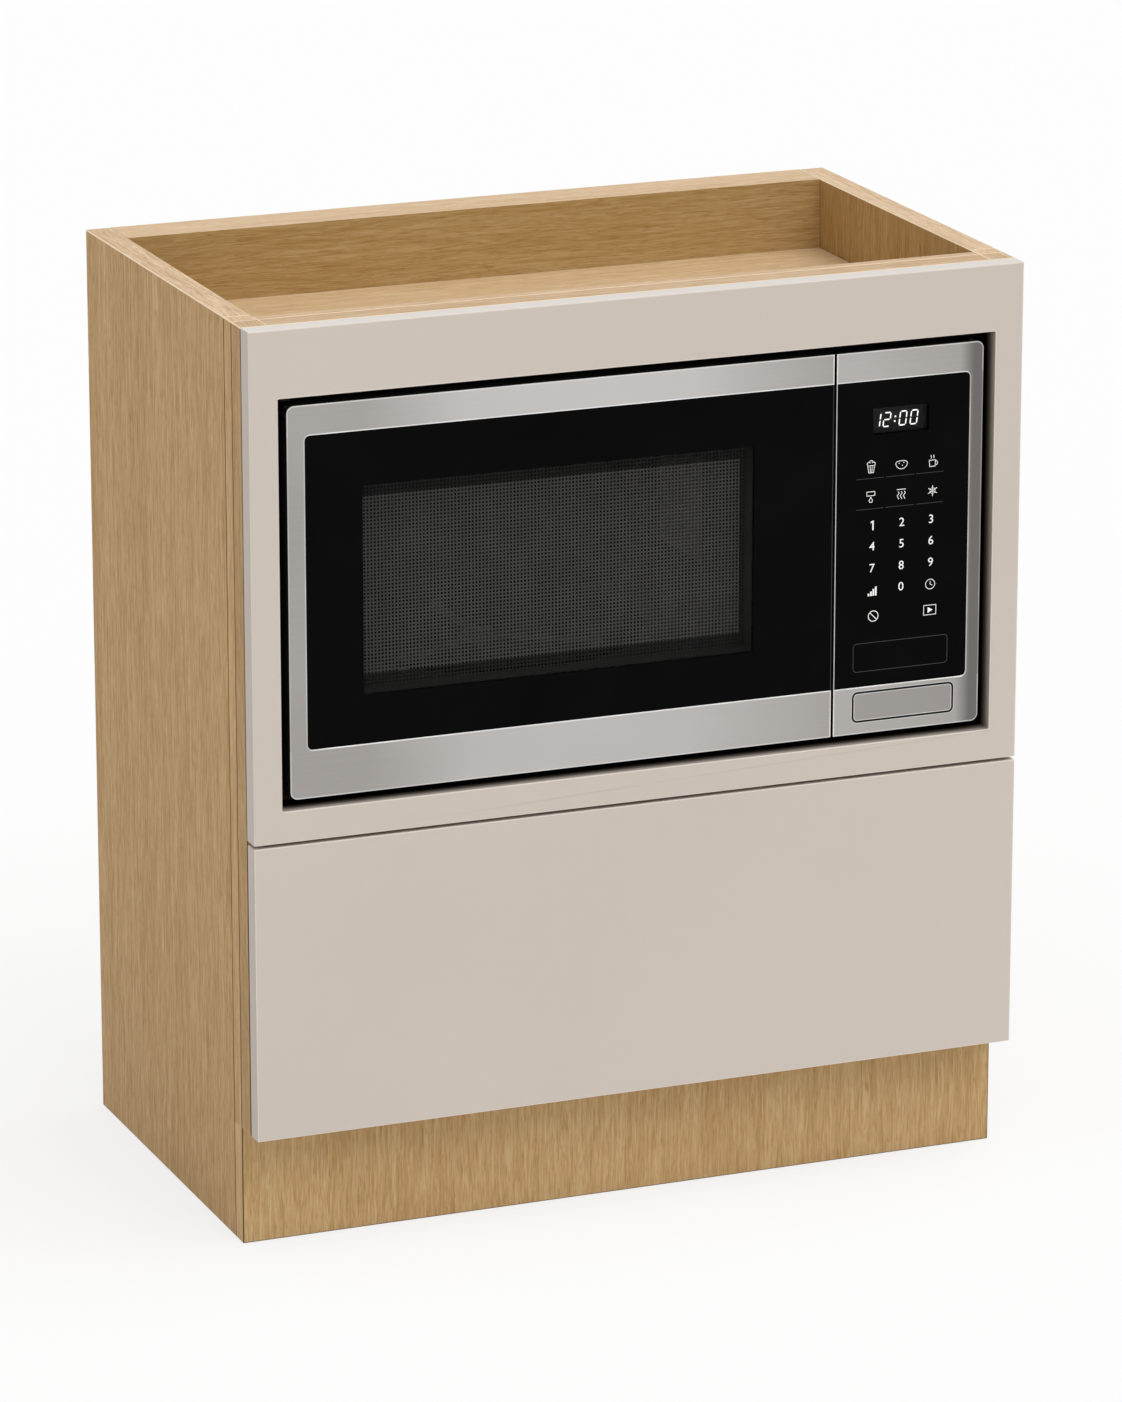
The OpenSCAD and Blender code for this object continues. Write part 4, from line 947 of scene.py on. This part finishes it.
def screen_finish():
    """Pale enamel on the front of the field behind the window, and darker grey elsewhere."""
    coat = Finish("screen_enamel", Specular_IOR_Level=0.3, Metallic=0.0)
    x, _, z = coat.spot()
    field = (((x > FIELD_X[0]) * (x < FIELD_X[1]))
             * ((z > FIELD_Z[0]) * (z < FIELD_Z[1])))
    cloud = coat.span(coat.noise((40, 40, 40), 3), 0.3, 0.7)
    bright = coat.mix(cloud, paint(226, 226, 219), paint(243, 243, 236))
    colour = coat.mix(field, SCREEN_GREY, bright)
    backward = coat.facing()[1] > MOSTLY
    coat.set("Base Color", coat.mix(backward, colour, SCREEN_GREY))
    coat.set("Roughness", coat.span(cloud, 0, 1, 0.45, 0.6))
    return coat.material


def repeats(length):
    """How many pitches go into a length, and half of what is left over."""
    count = int((length - BRIDGE / 1000) / PITCH * 1000)
    return count, (length - count * PITCH / 1000) / 2


columns, spare_x = repeats(screen_high.x - screen_low.x)
rows, spare_z = repeats(screen_high.z - screen_low.z)
screen = plain_mesh("window_screen", punched, {
    "Columns": columns, "Rows": rows, "Pitch": PITCH / 1000, "Bridge": BRIDGE / 1000,
    "Thickness": screen_high.y - screen_low.y,
    "Low corner": (screen_low.x + spare_x, (screen_low.y + screen_high.y) / 2,
                   screen_low.z + spare_z),
    "Material": screen_finish()}, "door")
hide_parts("door_screen")


# ---------- Oven body ----------
# Folded zinc-coated sheet round an enamelled cooking space, with the magnetron, fan, circuit board
# and locks in the space beside it. A little of it shows through the window and the door's gaps.

def smooth_sheet(name, rgb, rough, metallic=0.0, spangle=0.0, gap_shade_mask=None):
    """Plain sheet steel, zinc or enamel, with faint clouds, scratches and, on zinc, spangles, and
    near black painted shade where a mask is given.
    """
    sheet = Finish(name, Metallic=metallic)
    cloud = sheet.span(sheet.noise((18, 18, 18), 4, 0.6), 0.3, 0.7)
    scratch = sheet.span(sheet.noise((60, 900, 240), 3, 0.6), 0.55, 0.75)
    amount = cloud * 0.7 + scratch * 0.3
    if spangle:
        flake = sheet.node("ShaderNodeTexVoronoi", {}, {
            "Vector": sheet.place((90, 90, 90)), "Scale": 1.0})
        tint = sheet.axes(flake.outputs["Color"])[0]
        amount = amount * (1 - spangle) + tint * spangle
    colour = sheet.mix(amount, paint(*(c * 0.86 for c in rgb)), paint(*rgb))
    # Where the mask is 1 the sheet is painted near black: painted shade in the gaps.
    if gap_shade_mask:
        colour = sheet.mix(gap_shade_mask(sheet), colour, paint(13, 13, 13))
    sheet.set("Base Color", colour)
    sheet.set("Roughness", sheet.span(amount, 0, 1, rough + 0.07, rough - 0.05))
    sheet.bump(scratch, 0.06, 0.0002)
    return sheet.material


PLATE_X, PLATE_Z = 0.329, (0.449, 0.792)
GAP_X, GAP_REACH = 0.193, 0.009


def behind_gaps(sheet):
    """The front plate's border and the band behind the split, which show through the gaps and are
    painted black as painted shade.
    """
    x, _, z = sheet.spot()
    border = (abs(x) > PLATE_X).larger((z < PLATE_Z[0]).larger(z > PLATE_Z[1]))
    return border.larger(abs(x - GAP_X) < GAP_REACH)


def behind_display(board):
    return within(board, *grown(*DISPLAY, 1))


BOARD_GREEN = (38, 86, 52)
zinc = smooth_sheet("zinc_sheet", (176, 180, 184), 0.34, 1.0, 0.35)
enamel = smooth_sheet("grey_enamel", (74, 74, 72), 0.32)
circuit = smooth_sheet("circuit_board", BOARD_GREEN, 0.45)
plate = smooth_sheet("front_plate_enamel", (178, 178, 174), 0.32, gap_shade_mask=behind_gaps)
mica = smooth_sheet("mica_sheet", (190, 178, 150), 0.3)
display_face = grained_plastic("control_board_green", BOARD_GREEN, 0.45, 60, 0.1,
                               marked=(behind_display, (27, 29, 29)))
black_plastic = grained_plastic("black_plastic", BLACK)
ivory = grained_plastic("ivory_plastic", (212, 206, 188), 0.45)
white_plastic = grained_plastic("white_plastic", (222, 222, 218), 0.42)
grey_plastic = grained_plastic("grey_plastic", (70, 71, 73), 0.5)
rubber = grained_plastic("black_rubber", (20, 20, 20), 0.75, 500, 0.4)
lamp_white = grained_plastic("lamp_white", (228, 226, 214), 0.35)
for node, finish, arris in (
        ("oven_case", zinc, 0.0), ("oven_base", zinc, 0.2), ("oven_back", zinc, 0.0),
        ("oven_front_plate", plate, 0.2), ("oven_cavity", enamel, 0.2), ("oven_feet", rubber, 0.8),
        ("cavity_lamp", lamp_white, 0.4), ("waveguide_cover", mica, 0.0), ("magnetron", zinc, 0.2),
        ("inverter_board", circuit, 0.0), ("fan_housing", black_plastic, 0.4),
        ("fan_blade", grey_plastic, 0.2), ("power_inlet", rubber, 0.4),
        ("interlock_housing", ivory, 0.4), ("turntable_motor", zinc, 0.3),
        ("turntable_coupler", ivory, 0.3), ("roller_ring", white_plastic, 0.3),
        ("roller_wheel_1", white_plastic, 0.3), ("roller_wheel_2", white_plastic, 0.3),
        ("roller_wheel_3", white_plastic, 0.3), ("control_housing", black_plastic, 0.4),
        ("control_board", display_face, 0.0), ("hinge_brackets", zinc, 0.2),
        ("door_latch_bar", ivory, 0.4), ("cable_grommet", rubber, 0.5),
        ("push_latch_housing", grey_plastic, 0.5), ("push_latch_plunger", zinc, 0.3),
        ("runner_cabinet_members", zinc, 0.2), ("runner_middle_members", zinc, 0.2),
        ("runner_drawer_members", zinc, 0.2), ("drawer_bumpers", rubber, 0.2)):
    dress(node, finish, arris)


# ---------- Turntable glass ----------
# A pressed clear glass dish with a raised rim, slightly green in its thickness. It lies loose on
# the three wheels of the roller ring, and the coupler under its centre turns it.

clear = Finish("clear_glass", IOR=1.5, Transmission_Weight=1.0, Specular_IOR_Level=0.2)
ripple = clear.noise((60, 60, 60), 2)
clear.set("Base Color", clear.mix(ripple, paint(228, 240, 236), paint(240, 248, 246)))
clear.set("Roughness", clear.span(ripple, 0.3, 0.7, 0.02, 0.05))
dress("turntable_tray", clear.material)


# ---------- Drawer box ----------
# Birch plywood, 15 mm thick, butt jointed and glued, with its plies showing on the top edges and
# a thinner plywood bottom in grooves. The cleats under the shelves are solid birch.

PLY_SHIFT, PLIES_PER_METRE = (3, 5, 2), 1000 / 2.9
PLY_ARRIS = 0.5


def birch(name, grain, layers):
    """Birch with its grain along one axis. layers is the axis across its plies, or None."""
    ply = Finish(name, IOR=1.42, Specular_IOR_Level=0.3)
    figure = ply.span(ply.noise(stretched(grain, 60, 3), 3, 0.55, PLY_SHIFT, bend=0.4), 0.3, 0.7)
    fibre = ply.span(ply.noise(stretched(grain, 800, 20), 3, 0.6, PLY_SHIFT), 0.3, 0.7)
    colour = ply.mix(figure * 0.6 + fibre * 0.4, paint(206, 180, 140), paint(228, 208, 172))
    if layers:
        across = ply.spot()["XY".index(layers)] * PLIES_PER_METRE
        layer = ply.span(abs(across.math("FRACT", across) - 0.5), 0.22, 0.28)
        upward = ply.facing()[2] > MOSTLY
        colour = ply.mix(upward * layer * 0.75, colour, paint(168, 130, 88))
    ply.set("Base Color", colour)
    ply.set("Roughness", ply.span(fibre, 0, 1, 0.46, 0.58))
    ply.bump(fibre, 0.15, 0.0002)
    return ply.material


for node, grain, layers in (("drawer_sides", "Y", "X"), ("drawer_box_front", "X", "Y"),
                            ("drawer_box_back", "X", "Y"), ("drawer_bottom", "X", None),
                            ("support_cleats", "Y", None)):
    dress(node, birch("birch_" + node, grain, layers), PLY_ARRIS)


# ---------- Screws ----------
# Flat-headed wood screws in the boards and pan-headed ones in sheet and plastic, all zinc plated
# with a round recess. Every one is driven from behind, so its head faces the back.

HEAD_SIDES, RECESS_SHARE = 18, 0.5
BACKWARD = (0, 1, 0)

tree, given, screw_tree = geometry_tree("screw_heads", [
    ("Radius", "Float"), ("Height", "Float"), ("Recess", "Float"), ("Material", "Material")])
disc = tree.node("GeometryNodeMeshCylinder", {"fill_type": "NGON"}, {
    "Vertices": HEAD_SIDES, "Radius": given["Radius"], "Depth": given["Height"]})
inset = tree.node("GeometryNodeExtrudeMesh", {"mode": "FACES"}, {
    "Mesh": disc.outputs["Mesh"], "Selection": disc.outputs["Top"], "Offset Scale": 0.0})
shrunk = tree.node("GeometryNodeScaleElements", {"domain": "FACE"}, {
    "Geometry": inset.outputs["Mesh"], "Selection": inset.outputs["Top"], "Scale": RECESS_SHARE})
sunk = tree.node("GeometryNodeExtrudeMesh", {"mode": "FACES"}, {
    "Mesh": shrunk, "Selection": inset.outputs["Top"], "Offset Scale": given["Recess"]})
turned = tree.node("FunctionNodeAlignRotationToVector", {"axis": "Z"}, {"Vector": BACKWARD})
placed = tree.node("GeometryNodeInstanceOnPoints", {}, {
    "Points": given["Geometry"], "Instance": sunk.outputs["Mesh"], "Rotation": turned})
hand_out(tree, placed, given["Material"])

screw_steel = smooth_sheet("screw_steel", (168, 166, 160), 0.3, 1.0)
BACK_Y, CASE_Y, DRAWER_Y, DOOR_Y = 228.27, 164.7, -195.2, -188.3
for name, body, radius, height, recess, y, spots in (
        ("back_panel_screws", "cabinet", 4, 0.5, 0.015, BACK_Y,
         [(x, z) for x in (-340, -115, 115, 340) for z in (12, 700)]
         + [(x, z) for x in (-344, 344) for z in (240, 470)]),
        ("oven_case_screws", "cabinet", 3.6, 2.0, 1.2, CASE_Y,
         [(x, z) for x in (-322, 322) for z in (455, 615, 772)]
         + [(x, 778) for x in (-160, 0, 160)]),
        ("drawer_front_screws", "drawer", 4, 0.8, 0.48, DRAWER_Y,
         [(x, z) for x in (-250, 250) for z in (200, 300)]),
        ("door_panel_screws", "door", 3, 1.2, 0.72, DOOR_Y,
         [(x, z) for x in (-322, -75, 150) for z in (470, 770)])):
    points = bpy.data.meshes.new(name)
    points.from_pydata([metres(x, y, z) for x, z in spots], [], [])
    plain_mesh(name, screw_tree, {
        "Radius": radius / 1000, "Height": height / 1000, "Recess": -recess / 1000,
        "Material": screw_steel}, body, points)
